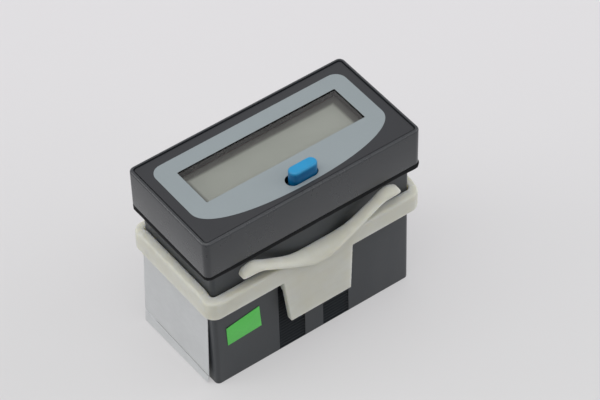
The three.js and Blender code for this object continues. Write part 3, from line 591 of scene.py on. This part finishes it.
def labelMaterial(name, color, crease=None):
    # coated label stock: faint fibre under a thin glaze, and a painted shade line along a crease, given as its
    # height, its rise and how far along the label it shows
    paint = Paint(name, color, 0.55)
    fibre = paint.grain(0.0004, detail=5, vector=paint.stretched((1, 0.3, 1)))
    cloud = paint.grain(0.005, detail=3)
    tone = paint.mix(paint.ramp(cloud, 0.3, 0.7), shade(color, 0.96), shade(color, 1.03))
    tone = paint.mix(paint.ramp(fibre, 0.45, 0.75, 0, 0.4), tone, shade(color, 0.92))
    if crease:
        height, rise, reach = crease
        axes = paint.axes()
        line = paint.math("ADD", paint.math("MULTIPLY", axes["Y"], rise), height * mm)
        away = paint.math("ABSOLUTE", paint.math("SUBTRACT", axes["Z"], line))
        # thin darker line at the crease: painted shade
        creaseShade = paint.math("MULTIPLY", paint.ramp(away, 0.00006, 0.00017, 1, 0),
                          paint.ramp(axes["Y"], reach * mm - 0.001, reach * mm + 0.0005, 1, 0))
        creaseShade = paint.math("MULTIPLY", creaseShade, paint.ramp(cloud, 0.3, 0.7, 0.55, 0.85))
        tone = paint.mix(creaseShade, tone, srgb(104, 104, 98))
    paint.tone(tone)
    paint.gloss(paint.ramp(fibre, 0.3, 0.7, 0.49, 0.61))
    paint.bumps((fibre, 0.000008, 0.5), (cloud, 0.00004, 0.4))
    return paint.material


def metalMaterial(name, color, roughness, brushed=(1, 1, 1)):
    # plated or rolled strip with fine drawing marks and a little tarnish
    paint = Paint(name, color, roughness, 1.0)
    lines = paint.grain(0.00012, detail=4, vector=paint.stretched(brushed))
    cloud = paint.grain(0.0016, detail=4)
    tone = paint.mix(paint.ramp(cloud, 0.35, 0.7), color, shade(color, 0.72))
    paint.tone(paint.mix(paint.ramp(lines, 0.4, 0.7, 0, 0.4), tone, shade(color, 0.85)))
    paint.gloss(paint.ramp(lines, 0.3, 0.7, roughness - 0.08, roughness + 0.12))
    paint.bumps((lines, 0.000003, 0.6), (cloud, 0.00001, 0.3))
    return paint.material


def boardMaterial():
    # solder resist with the weave under it and faint tracks
    color = srgb(30, 92, 58)
    paint = Paint("solderResist", color, 0.35)
    weave = paint.math("MULTIPLY", paint.cells(0.0005, vector=paint.stretched((1, 0.4, 1))),
                       paint.cells(0.0005, vector=paint.stretched((0.4, 1, 1))))
    tracks = paint.add("ShaderNodeTexBrick")
    put(tracks, Scale=420, Mortar_Size=0.03)
    paint.wire(paint.place, tracks.inputs["Vector"])
    tone = paint.mix(paint.ramp(weave, 0.0, 0.3, 0, 0.4), color, shade(color, 0.8))
    paint.tone(paint.mix(paint.math("MULTIPLY", tracks.outputs["Fac"], 0.5), tone, shade(color, 1.5)))
    paint.gloss(paint.ramp(paint.grain(0.002), 0.3, 0.7, 0.28, 0.42))
    paint.bumps((weave, 0.00001, 0.4), (tracks.outputs["Fac"], 0.00002, 0.5))
    return paint.material


def layeredRubber():
    # carbon and clear layers across the strip
    paint = Paint("layeredRubber", srgb(150, 70, 60), 0.7)
    bands = paint.add("ShaderNodeTexWave", wave_type="BANDS", bands_direction="X")
    put(bands, Scale=1600, Distortion=0.4)
    paint.wire(paint.place, bands.inputs["Vector"])
    paint.tone(paint.mix(bands.outputs["Fac"], srgb(168, 84, 72), srgb(40, 34, 34)))
    paint.gloss(paint.ramp(paint.grain(0.0003), 0.3, 0.7, 0.6, 0.8))
    paint.bumps((paint.grain(0.0001), 0.00001, 0.4))
    return paint.material


def simpleMaterial(name, color, roughness, **fixed):
    # small inner parts: cloudy tone, fine grain
    paint = Paint(name, color, roughness, **fixed)
    cloud = paint.grain(0.0012, detail=3)
    fine = paint.grain(0.00008, detail=2)
    tone = paint.mix(paint.ramp(cloud, 0.3, 0.7), shade(color, 0.88), shade(color, 1.1))
    paint.tone(paint.mix(paint.ramp(fine, 0.4, 0.7, 0, 0.4), tone, shade(color, 0.8)))
    paint.gloss(paint.ramp(fine, 0.3, 0.7, roughness - 0.06, roughness + 0.06))
    paint.bumps((fine, 0.000005, 0.5), (cloud, 0.00002, 0.3))
    return paint.material


nylon = clampMaterial()
foilFilm = foilMaterial()
silverInk = silverMaterial()
clearPane = paneMaterial("clearPane", 1.45)
polariserFilm = polariserMaterial((-0.0175, -0.0035), (0.01785, 0.0058), 0.0013)
blueButton = buttonMaterial(0.0423)
cellRubber = gasketMaterial()
whiteStock = labelMaterial("whiteStock", srgb(203, 205, 206), crease=(1.95, 0.05, 7.6))
greenStock = labelMaterial("greenStock", srgb(95, 210, 92))
platedSteel = metalMaterial("platedSteel", srgb(196, 198, 202), 0.32, (1, 0.15, 1))
brassStrip = metalMaterial("brassStrip", srgb(206, 172, 106), 0.3, (0.15, 1, 0.3))
solderResist = boardMaterial()
zebraRubber = layeredRubber()
chipBlack = simpleMaterial("chipBlack", srgb(34, 35, 37), 0.5)
ceramicTan = simpleMaterial("ceramicTan", srgb(170, 142, 104), 0.5)
ceramicBlack = simpleMaterial("ceramicBlack", srgb(40, 42, 46), 0.45)
domeSilicone = simpleMaterial("domeSilicone", srgb(205, 205, 198), 0.6, Subsurface_Weight=0.3,
                              Subsurface_Scale=0.0006)
cellSleeve = simpleMaterial("cellSleeve", srgb(72, 98, 138), 0.3, Coat_Weight=0.3)
cellGlass = paneMaterial("cellGlass", 1.45)
pearlFilm = simpleMaterial("pearlFilm", srgb(206, 208, 192), 0.45)
print("materials ready")

# front: bezel, foil, print, window, button

bezelSizes = {
    "length": 48.15, "width": 24.3, "rear": 31.4, "top": 40, "centre": (-0.06, -0.15),
    "corner": 1.25, "edge": 0.5, "taper": 0.06,
    "cavityLength": 45, "cavityWidth": 22, "cavityCorner": 1.0, "faceRear": 38.1,
    "seatInset": 0.62, "seatCorner": 0.75, "seatFloor": 39.3, "seatFlare": 0.06,
    "flareLow": 39.93, "flareHigh": 40.03, "rearEdge": 0.12,
}
window = {"low": (-17.5, -3.5), "high": (17.85, 5.8), "corner": 0.18, "paneLap": 1.1, "paneSeat": 39.15}
slot = {"left": -3.6, "right": 3.25, "centre": -8.375, "width": 2.95}
throughFace, throughFoil = (37.5, 41), (39, 41)  # from where to where a cutter reaches


def windowBlock(name, lap, corner, levels):
    length, width = (high - low + 2 * lap for low, high in zip(window["low"], window["high"]))
    centre = [(low + high) / 2 for low, high in zip(window["low"], window["high"])]
    return stack(name, length, width, corner, levels, 4, centre)


def windowCutter(low, high, lap=0.0):
    return windowBlock("windowCut", lap, window["corner"], [(low, 0), (high, 0)])


def slotCutter(low, high):
    length = slot["right"] - slot["left"]
    centre = ((slot["right"] + slot["left"]) / 2, slot["centre"])
    return stack("slotCut", length, slot["width"], slot["width"] / 2, [(low, 0), (high, 0)], 14, centre)


def makeBezel(size):
    top, inset, flare = size["top"], size["seatInset"], size["seatFlare"]
    levels = roundUnder(size["rear"], size["rearEdge"], size["taper"]) + roundOver(top, size["edge"], 0, 8)
    shell = stack("frontBezel", size["length"], size["width"], size["corner"], levels, 14, size["centre"])
    cavity = stack("cavityCut", size["cavityLength"], size["cavityWidth"], size["cavityCorner"],
                   [(size["rear"] - 1, 0), (size["faceRear"], 0)])
    mouth = [(size["seatFloor"], 0), (size["flareLow"], 0), (size["flareHigh"], -flare), (top + 0.5, -flare)]
    seat = stack("seatCut", size["length"] - 2 * inset, size["width"] - 2 * inset, size["seatCorner"], mouth, 10,
                 size["centre"])
    paneSeat = windowCutter(window["paneSeat"], throughFace[1], window["paneLap"])
    cutOut(shell, [cavity, seat, paneSeat, windowCutter(*throughFace), slotCutter(*throughFace)])
    finishPiece(shell, blackMould, "instrument", ["front_bezel"])


foilSizes = {"inset": 0.84, "corner": 0.55, "bottom": 39.7, "top": 39.8, "edge": 0.02}


def makeFoil(size):
    length, width = (bezelSizes[key] - 2 * size["inset"] for key in ("length", "width"))
    levels = roundUnder(size["bottom"], size["edge"], 0, 2) + roundOver(size["top"], size["edge"], 0, 3)
    foil = stack("frontFoil", length, width, size["corner"], levels, 10, bezelSizes["centre"])
    cutOut(foil, [windowCutter(*throughFoil), slotCutter(*throughFoil)])
    finishPiece(foil, foilFilm, "instrument", ["front_foil"])


printSizes = {
    "half": 21.35, "top": 9.25, "corner": 2.4, "waist": -3.9, "drop": 6.75, "power": 2.2,
    "bottom": 39.8, "thickness": 0.025,
}


def makePrint(size):
    # square shoulders with round corners, and one long belly below
    half, corner, power = size["half"], size["corner"], 2 / size["power"]
    outline = []
    for centreX, start in ((half - corner, 0), (corner - half, 1)):
        for step in range(13):
            turn = (start + step / 12) * tau / 4
            y = size["top"] - corner + corner * math.sin(turn)
            outline.append((centreX + corner * math.cos(turn), y))
    for step in range(81):
        turn = math.pi + step / 80 * math.pi
        c, s = math.cos(turn), math.sin(turn)
        outline.append((math.copysign(abs(c) ** power, c) * half, size["waist"] - abs(s) ** power * size["drop"]))
    ink = prism("silverPrint", outline, size["bottom"], size["bottom"] + size["thickness"])
    cutOut(ink, [windowCutter(*throughFoil), slotCutter(*throughFoil)])
    finishPiece(ink, silverInk, "instrument", ["silver_print"])


paneSizes = {"lap": 1, "corner": 0.3, "low": 39.2, "high": 39.68, "edge": 0.04}


def makePane(size):
    levels = roundUnder(size["low"], size["edge"], 0, 2) + roundOver(size["high"], size["edge"], 0, 2)
    pane = windowBlock("windowPane", size["lap"], size["corner"], levels)
    finishPiece(pane, clearPane, "instrument", ["window_pane"])


buttonSizes = {
    "centre": (0.1, -8.375), "length": 6.0, "width": 2.45, "top": 42.3, "edge": 0.45, "draft": 0.03,
    "earsLength": 8.6, "earsWidth": 2.15, "earsLow": 37.2, "earsHigh": 38.0,
    "stemLength": 3.6, "stemWidth": 1.5, "stemLow": 34.2, "stemCorner": 0.4, "crownInset": 0.25, "crownDip": 0.01,
}


def makeButton(size):
    x, y = size["centre"]

    def ring(length, width, z, corner=None):
        outline = rounded(length, width, (corner or width / 2) - 0.001, 12)
        return [(px + x, py + y, z) for px, py in outline]
    stem, ears = (size["stemLength"], size["stemWidth"]), (size["earsLength"], size["earsWidth"])
    rings = [ring(*stem, size["stemLow"], size["stemCorner"]), ring(*stem, size["earsLow"], size["stemCorner"]),
             ring(*ears, size["earsLow"]), ring(*ears, size["earsHigh"]),
             ring(size["length"], size["width"], size["earsHigh"])]
    crown = [(size["top"] - size["crownDip"], size["edge"] + size["crownInset"])]
    for z, inset in roundOver(size["top"], size["edge"], size["draft"], 7) + crown:
        rings.append(ring(size["length"] - 2 * inset, size["width"] - 2 * inset, z))
    button = loft("resetButton", rings)
    finishPiece(button, blueButton, "button", ["reset_button"], 40)


domeSizes = {"baseHigh": 0.6, "neckShare": 0.72, "edge": 0.12, "web": (0.15, 0.4), "webFlare": 0.08, "travel": 0.9}


def makeDome(size):
    # silicone spring under the button, flattened as far as the button goes in
    low, high = (Vector(corner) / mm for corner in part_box("button_dome"))
    length, width, height = high - low
    centre = (low + high) / 2
    share, edge, base = size["neckShare"], size["edge"], size["baseHigh"]
    rings = []
    for z, part, inset in ((0, 1, edge / 2), (edge / 2, 1, 0), (base - edge, 1, 0), (base, 1, edge),
                           (base + size["web"][0], share, -size["webFlare"]), (base + size["web"][1], share, 0),
                           (height - edge, share, 0), (height, share, edge)):
        across = width * part - 2 * inset
        outline = rounded(length * part - 2 * inset, across, across / 2 - 0.001, 8)
        rings.append([(x + centre.x, y + centre.y, low.z + z) for x, y in outline])
    dome = loft("buttonDome", rings)
    finishPiece(dome, domeSilicone, "instrument", ["button_dome"], 40)
    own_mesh(dome)


makeBezel(bezelSizes)
makeFoil(foilSizes)
makePrint(printSizes)
makePane(paneSizes)
makeButton(buttonSizes)
makeDome(domeSizes)
print("front ready")

# gasket and housing

gasketSizes = {
    "length": 48, "width": 24, "corner": 1.2, "low": 30.05, "high": 31.35,
    "holeLength": 45, "holeWidth": 22, "holeCorner": 1.6, "step": 0.8, "turn": 1.3,
    "swell": 0.06, "wave": 0.35, "nearCorner": -0.2, "nearSpread": 18, "farLip": 0.3, "farSpread": 6,
    # heights above its low face and how far the cut edge stands out there
    "profile": ((0, -0.1), (0.06, -0.03), (0.3, 0.03), (0.65, 0.06), (1.0, 0.03), (1.25, -0.03), (1.3, -0.1)),
}


def makeGasket(size):
    halfX, halfY = size["length"] / 2, size["width"] / 2

    def lip(x, y):
        # pressed rubber: swells a little along the sides, drawn in at the near left corner
        near = math.exp(-((x + halfX) ** 2 + (y + halfY) ** 2) / size["nearSpread"])
        right = math.exp(-((x - halfX) ** 2 + (y + halfY) ** 2) / size["farSpread"])
        wave = noise.noise(Vector((x * size["wave"], y * size["wave"], 3.0)))
        return size["swell"] * wave + size["nearCorner"] * near + size["farLip"] * right

    def outward(x, y):
        if abs(x) > halfX - size["turn"] and abs(y) > halfY - size["turn"]:
            return Vector((x / halfX, y / halfY)).normalized()
        return Vector((math.copysign(1, x), 0)) if abs(x) > halfX - 0.1 else Vector((0, math.copysign(1, y)))

    def ring(z, outer, bulge=0.0):
        if not outer:
            hole = rounded(size["holeLength"], size["holeWidth"], size["holeCorner"])
            return [(x, y, z) for x, y in denser(hole, size["step"])]
        points = []
        for x, y in denser(rounded(size["length"], size["width"], size["corner"]), size["step"]):
            out = outward(x, y) * (lip(x, y) + bulge)
            points.append((x + out.x, y + out.y, z))
        return points

    hole = ring(size["low"], False)
    outer = ring(size["low"], True)
    total = max(len(hole), len(outer))

    def even(points):
        # the same number of points on each ring, spread by length
        loop = points + points[:1]
        lengths = [0]
        for a, b in zip(loop, loop[1:]):
            lengths.append(lengths[-1] + math.dist(a, b))
        result, place = [], 0
        for i in range(total):
            goal = lengths[-1] * i / total
            while lengths[place + 1] < goal:
                place += 1
            part = (goal - lengths[place]) / max(1e-9, lengths[place + 1] - lengths[place])
            result.append(tuple(p + (q - p) * part for p, q in zip(loop[place], loop[place + 1])))
        return result
    rings = [even(ring(size["low"] + up, True, bulge)) for up, bulge in size["profile"]]
    rings += [even(ring(size["high"], False)), even(ring(size["low"], False))]
    gasket = loft("panelGasket", rings, closed=True)
    finishPiece(gasket, cellRubber, "instrument", ["panel_gasket"], 50)


housingSizes = {
    "length": 44.8, "width": 21.8, "corner": 0.9, "top": 34, "foot": 0.2,
    "tubeLength": 40.4, "tubeWidth": 17.4, "tubeCorner": 0.7, "tubeFlare": 0.3,
    "shelf": 30.95, "mouthLength": 42, "mouthWidth": 19, "mouthCorner": 0.6,
    "toothInner": 2.1, "toothOuter": 8.05, "toothPitch": 0.8, "toothDepth": 0.62, "toothCount": 29,
    "toothRim": 0.22, "rootLow": 0.02, "rootHigh": 0.42, "crestDepth": 0.05, "crestLow": 0.68, "crestHigh": 0.78,
}


def makeHousing(size):
    levels = roundUnder(0, size["foot"]) + [(size["top"] - 0.2, 0), (size["top"], 0.2)]
    shell = stack("housingShell", size["length"], size["width"], size["corner"], levels, 12)
    flare, shelf = size["tubeFlare"], size["shelf"]
    cutters = [
        stack("tubeCut", size["tubeLength"], size["tubeWidth"], size["tubeCorner"],
              [(-1, -flare), (0, -flare), (flare, 0), (shelf + 1, 0)]),
        stack("mouthCut", size["mouthLength"], size["mouthWidth"], size["mouthCorner"], [(shelf, 0), (36, 0)]),
    ]
    face, pitch, rim = size["width"] / 2, size["toothPitch"], size["toothRim"]
    outside, root, crest = face + 1, face - size["toothDepth"], face - size["crestDepth"]
    across = size["toothOuter"] - size["toothInner"]
    for side in (-1, 1):
        outline = [(side * outside, rim), (side * (face - size["toothDepth"] * 0.8), rim)]
        for tooth in range(size["toothCount"]):
            base = rim + tooth * pitch
            outline += [(side * root, base + size["rootLow"]), (side * root, base + size["rootHigh"]),
                        (side * crest, base + size["crestLow"]), (side * crest, base + size["crestHigh"])]
        outline.append((side * outside, rim + size["toothCount"] * pitch))
        for left in (-size["toothOuter"], size["toothInner"]):
            cutters.append(prism("teethCut", outline, left, left + across, "x"))
    cutOut(shell, cutters)
    finishPiece(shell, housingMould, "instrument", ["housing"], 28)


makeGasket(gasketSizes)
makeHousing(housingSizes)
print("gasket and housing ready")

# mounting clamp

clampSizes = {
    "innerLength": 45.1, "innerWidth": 22.1, "innerCorner": 0.9, "length": 48.4, "width": 25.6, "corner": 2.4,
    "low": 19.9, "high": 24.15, "edge": 0.55, "footEdge": 0.3, "step": 0.9,
    "innerRise": 0.3, "innerEdge": 0.1, "innerFootEdge": 0.15,
    "endFrom": 21.5, "endSide": 10.9, "endSlope": 1.5, "endRise": 0.6,
    "dishHalf": 5.2, "dishEdge": 1.35, "dishReach": 20, "dip": 0.75,
    "leafBack": 11.85, "leafFront": 13.85, "leafShift": 0.4, "leftShare": 0.985,
    "tongueTop": 7.85, "tongueEnd": 6.9, "tongueLow": 9.55, "tongueHigh": 21.9, "tongueWall": 1.35,
    "tongueFlare": 0.6, "tongueEdge": 0.12,
    "grid": 0.12, "soften": 2, "keep": 0.26,
    # the pawl's outline: out from the tongue's inner wall, and up from the ring's foot
    "pawl": ((0.3, -0.2), (0, -0.35), (-0.35, -1.0), (-0.35, -1.9), (0.15, -2.5), (0.5, -2.5)), "pawlInset": 0.1,
    # one wing of the leaf, from the middle to its tip: a point of its lower and one of its upper edge, and where
    # its back and front lie there, as shares of its depth
    "wing": [
        ((0, 21.36), (0, 24.42), -0.35, 1), ((1.0, 21.38), (0.9, 24.42), -0.35, 1),
        ((2.1, 21.5), (1.8, 24.44), -0.35, 1), ((3.1, 21.98), (2.7, 24.5), -0.34, 1),
        ((4.9, 22.92), (4.4, 24.9), -0.26, 1), ((6.8, 23.9), (6.2, 25.55), -0.1, 1),
        ((8.5, 24.8), (7.9, 26.36), 0, 1), ((10.8, 26.12), (10.2, 27.46), 0, 1),
        ((11.9, 26.68), (11.3, 27.96), 0, 1), ((12.9, 27.28), (12.4, 28.52), 0, 1),
        ((13.6, 27.58), (13.3, 29.06), 0, 1), ((14.4, 27.74), (14.2, 29.6), 0, 1),
        ((15.3, 27.8), (15.1, 29.86), 0, 1), ((16.2, 27.84), (15.9, 29.8), 0, 1),
        ((17.1, 27.9), (16.7, 29.58), 0, 1), ((17.68, 27.98), (17.36, 29.25), 0.03, 0.98),
        ((17.95, 28.14), (17.8, 28.9), 0.12, 0.9),
    ],
    # the leaf's section, a D that is flat at the back, as shares of its height and depth
    "section": (
        (0.1, 0), (0.9, 0), (0.98, 0.03), (0.995, 0.1), (0.96, 0.3), (0.9, 0.5), (0.82, 0.67), (0.71, 0.82),
        (0.57, 0.93), (0.42, 0.99), (0.25, 1.0), (0.1, 0.96), (0.02, 0.88), (0, 0.78), (0, 0.08),
    ),
}


def clampRing(size):
    low, high, edge = size["low"], size["high"], size["edge"]

    def smooth(value):
        value = max(0.0, min(1.0, value))
        return value * value * (3 - 2 * value)

    def ring(length, width, corner, z, dip=0.0):
        # the short ends stand a little higher; the outer edge dips in the middle, where the leaf leaves it
        points = []
        for x, y in denser(rounded(length, width, corner, 10), size["step"]):
            rise = drop = 0
            if abs(x) > size["endFrom"]:
                rise = size["endRise"] * smooth((size["endSide"] - abs(y)) / size["endSlope"])
            if abs(x) < size["dishReach"]:
                away = abs(x - math.copysign(size["leafShift"], -y)) / size["dishHalf"]
                drop = dip * smooth(size["dishEdge"] - away)
            points.append((x, y, z + (rise - drop) * max(0.0, z - low - 1) / (high - low - 1)))
        return points
    rings = []
    for z, inset in roundUnder(low, size["footEdge"]) + roundOver(high, edge, 0, 6):
        length, width = size["length"] - 2 * inset, size["width"] - 2 * inset
        rings.append(ring(length, width, size["corner"] - inset, z, size["dip"]))
    top, turn, foot = high + size["innerRise"], size["innerEdge"], size["innerFootEdge"]
    for z, gap in ((top, turn), (top - turn, 0), (low + foot, 0), (low, foot)):
        length, width = size["innerLength"] + 2 * gap, size["innerWidth"] + 2 * gap
        rings.append(ring(length, width, size["innerCorner"] + gap, z))
    return loft("mountingClamp", rings, closed=True)


def leafStations(size):
    left = [((-low[0] * size["leftShare"], low[1]), (-high[0] * size["leftShare"], high[1]), rear, front)
            for low, high, rear, front in size["wing"][:0:-1]]
    return left + size["wing"]


def makeLeaf(size, side):
    depth = size["leafFront"] - size["leafBack"]
    rings = []
    for low, high, rear, front in leafStations(size):
        ring = []
        for up, out in size["section"]:
            x, z = (a + (b - a) * up for a, b in zip(low, high))
            out = rear + (front - rear) * out
            ring.append((x - side * size["leafShift"], side * (size["leafBack"] + depth * out), z))
        rings.append(ring)
    return loft("leaf", rings)


def makeClamp(size):
    body = clampRing(size)
    low, outer = size["low"], size["width"] / 2
    for side in (-1, 1):
        leaf = makeLeaf(size, side)
        wall, flare = side * (outer - size["tongueWall"]), side * size["tongueFlare"]
        top, foot = size["tongueTop"], size["tongueEnd"]
        rings = []
        for z, half, shift in ((size["tongueLow"], foot, flare), (low, top, 0), (size["tongueHigh"], top, 0)):
            rings.append([(-half, side * outer + shift, z), (half, side * outer + shift, z),
                          (half, wall + shift, z), (-half, wall + shift, z)])
        tongue = loft("tongue", rings)
        bevelled(tongue, size["tongueEdge"], 50, clamped=False)
        applied(tongue)
        pawlHalf = top - size["pawlInset"]
        pawl = prism("pawl", [(wall + side * out, low + up) for out, up in size["pawl"]], -pawlHalf, pawlHalf, "x")
        gathered(body, [leaf, tongue, pawl])
    modified(body, "REMESH", mode="VOXEL", voxel_size=size["grid"])
    modified(body, "SMOOTH", factor=0.5, iterations=size["soften"])
    modified(body, "DECIMATE", ratio=size["keep"])
    print("clamp faces", len(body.data.polygons))
    finishPiece(body, nylon, "clamp", ["mounting_clamp"], 70)


makeClamp(clampSizes)
print("clamp ready")

# labels

whiteLabelSizes = {
    "face": -22.43, "near": -9.2, "far": 11.35, "foot": 0.1, "top": 20.5, "splayFrom": 19, "crease": 1.95,
    "rise": 0.05, "splay": (0.57, 0.9), "flare": 0.44, "lean": 0.3, "narrow": 0.5, "groove": 0.2,
    "grooveHalf": 0.09, "glue": 0.02, "waver": 0.02, "waves": 0.3, "thickness": 0.1,
    "alongSteps": 52, "upSteps": 44, "creaseStep": 0.06, "creaseReach": 0.35,
}


def makeWhiteLabel(size):
    # stuck to the short side at its top, lifting off below, creased and flared at its foot
    def place(u, level):
        y = size["near"] + (size["far"] - size["near"]) * u
        crease, foot, top = (size[key] for key in ("crease", "foot", "top"))
        fold = crease + size["rise"] * y
        if level < crease:
            z = foot + (level - foot) * (fold - foot) / (crease - foot)
        else:
            z = top - (top - level) * (top - fold) / (top - crease)
        lift = max(0.0, (size["splayFrom"] - max(z, fold)) / (size["splayFrom"] - fold))
        out = (size["splay"][0] * (1 - u) + size["splay"][1] * u) * lift
        below = max(0.0, fold - z) / fold
        out += size["flare"] * below
        out += size["waver"] * noise.noise(Vector((y * size["waves"], z * size["waves"], 1.7)))
        groove = size["groove"] * math.exp(-((z - fold) / size["grooveHalf"]) ** 2)
        y -= (size["lean"] * lift + size["narrow"] * below) * u ** 3
        return (size["face"] - size["glue"] - out + groove, y, z)

    steps, rise = size["upSteps"], size["top"] - size["foot"]
    heights = [size["foot"] + rise * step / steps for step in range(steps + 1)]
    heights = [z for z in heights if abs(z - size["crease"]) > size["creaseReach"]]
    heights = sorted(heights + [size["crease"] + size["creaseStep"] * step for step in range(-5, 6)])
    rows, columns = len(heights), size["alongSteps"] + 1
    back = [place(i / size["alongSteps"], z) for z in heights for i in range(columns)]
    verts = back + [(x - size["thickness"], y, z) for x, y, z in back]
    count = len(back)
    faces = []
    for j in range(rows - 1):
        for i in range(columns - 1):
            a = j * columns + i
            quad = (a, a + 1, a + columns + 1, a + columns)
            faces += [quad, tuple(p + count for p in reversed(quad))]
    rim = list(range(columns)) + [j * columns + columns - 1 for j in range(1, rows)]
    rim += [(rows - 1) * columns + i for i in range(columns - 2, -1, -1)]
    rim += [j * columns for j in range(rows - 2, 0, -1)]
    for a, b in zip(rim, rim[1:] + rim[:1]):
        faces.append((a, a + count, b + count, b))
    label = newPiece("whiteLabel", verts, faces)
    tidyNormals(label)
    finishPiece(label, whiteStock, "instrument", ["white_label"], 50)
    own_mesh(label)


greenLabelSizes = {
    "corners": ((-19.64, 9.42), (-12.03, 9.82), (-12.39, 15.34), (-19.87, 14.17)),
    "face": -10.92, "glue": 0.015, "thickness": 0.07, "steps": 12, "lift": 0.05, "liftReach": 2.5,
}


def makeGreenLabel(size):
    # pressed on by hand, so one corner stands off a hair
    a, b, c, d = (Vector(corner) for corner in size["corners"])
    steps = size["steps"]
    rings = []
    for layer, inset in ((0, 0.02), (0.3, 0), (0.85, 0), (1, 0.03)):
        ring = []
        for start, end in ((a, b), (b, c), (c, d), (d, a)):
            for step in range(steps):
                p = start.lerp(end, step / steps)
                p = p.lerp((a + b + c + d) / 4, inset * 0.2)
                lift = size["lift"] * max(0.0, 1 - (p - d).length / size["liftReach"]) ** 2
                ring.append((p.x, size["face"] - size["glue"] - lift - size["thickness"] * layer, p.y))
        rings.append(ring)
    label = loft("greenLabel", rings)
    finishPiece(label, greenStock, "instrument", ["green_label"], 50)


makeWhiteLabel(whiteLabelSizes)
makeGreenLabel(greenLabelSizes)
print("labels ready")

# inside and rear, on the CAD nodes

finishes = {
    "lcd_front_polariser": (polariserFilm, 0), "lcd_reflector": (pearlFilm, 0),
    "lcd_front_glass": (cellGlass, 0.05), "lcd_rear_glass": (cellGlass, 0.05),
    "lcd_holder": (holderMould, 0.06), "circuit_board": (solderResist, 0.03),
    "zebra_strip_lower": (zebraRubber, 0.05), "zebra_strip_upper": (zebraRubber, 0.05),
    "counter_chip": (chipBlack, 0.04), "crystal": (platedSteel, 0.06),
    "lithium_cell": (cellSleeve, 0.4), "terminal_block": (blockMould, 0.1),
    "cell_tab_positive": (platedSteel, 0.03), "cell_tab_negative": (platedSteel, 0.03),
}
for number in range(1, 4):
    finishes[f"chip_capacitor_{number}"] = (ceramicTan, 0.05)
    finishes[f"chip_resistor_{number}"] = (ceramicBlack, 0.04)
for number in range(1, 6):
    finishes[f"terminal_contact_{number}"] = (brassStrip, 0.05)
    finishes[f"clamp_plate_{number}"] = (platedSteel, 0.1)
    finishes[f"terminal_screw_{number}"] = (platedSteel, 0.08)
for name, (material, edge) in finishes.items():
    dressNode(name, material, edge * mm)
print("inside and rear ready")

bpy.context.view_layer.update()
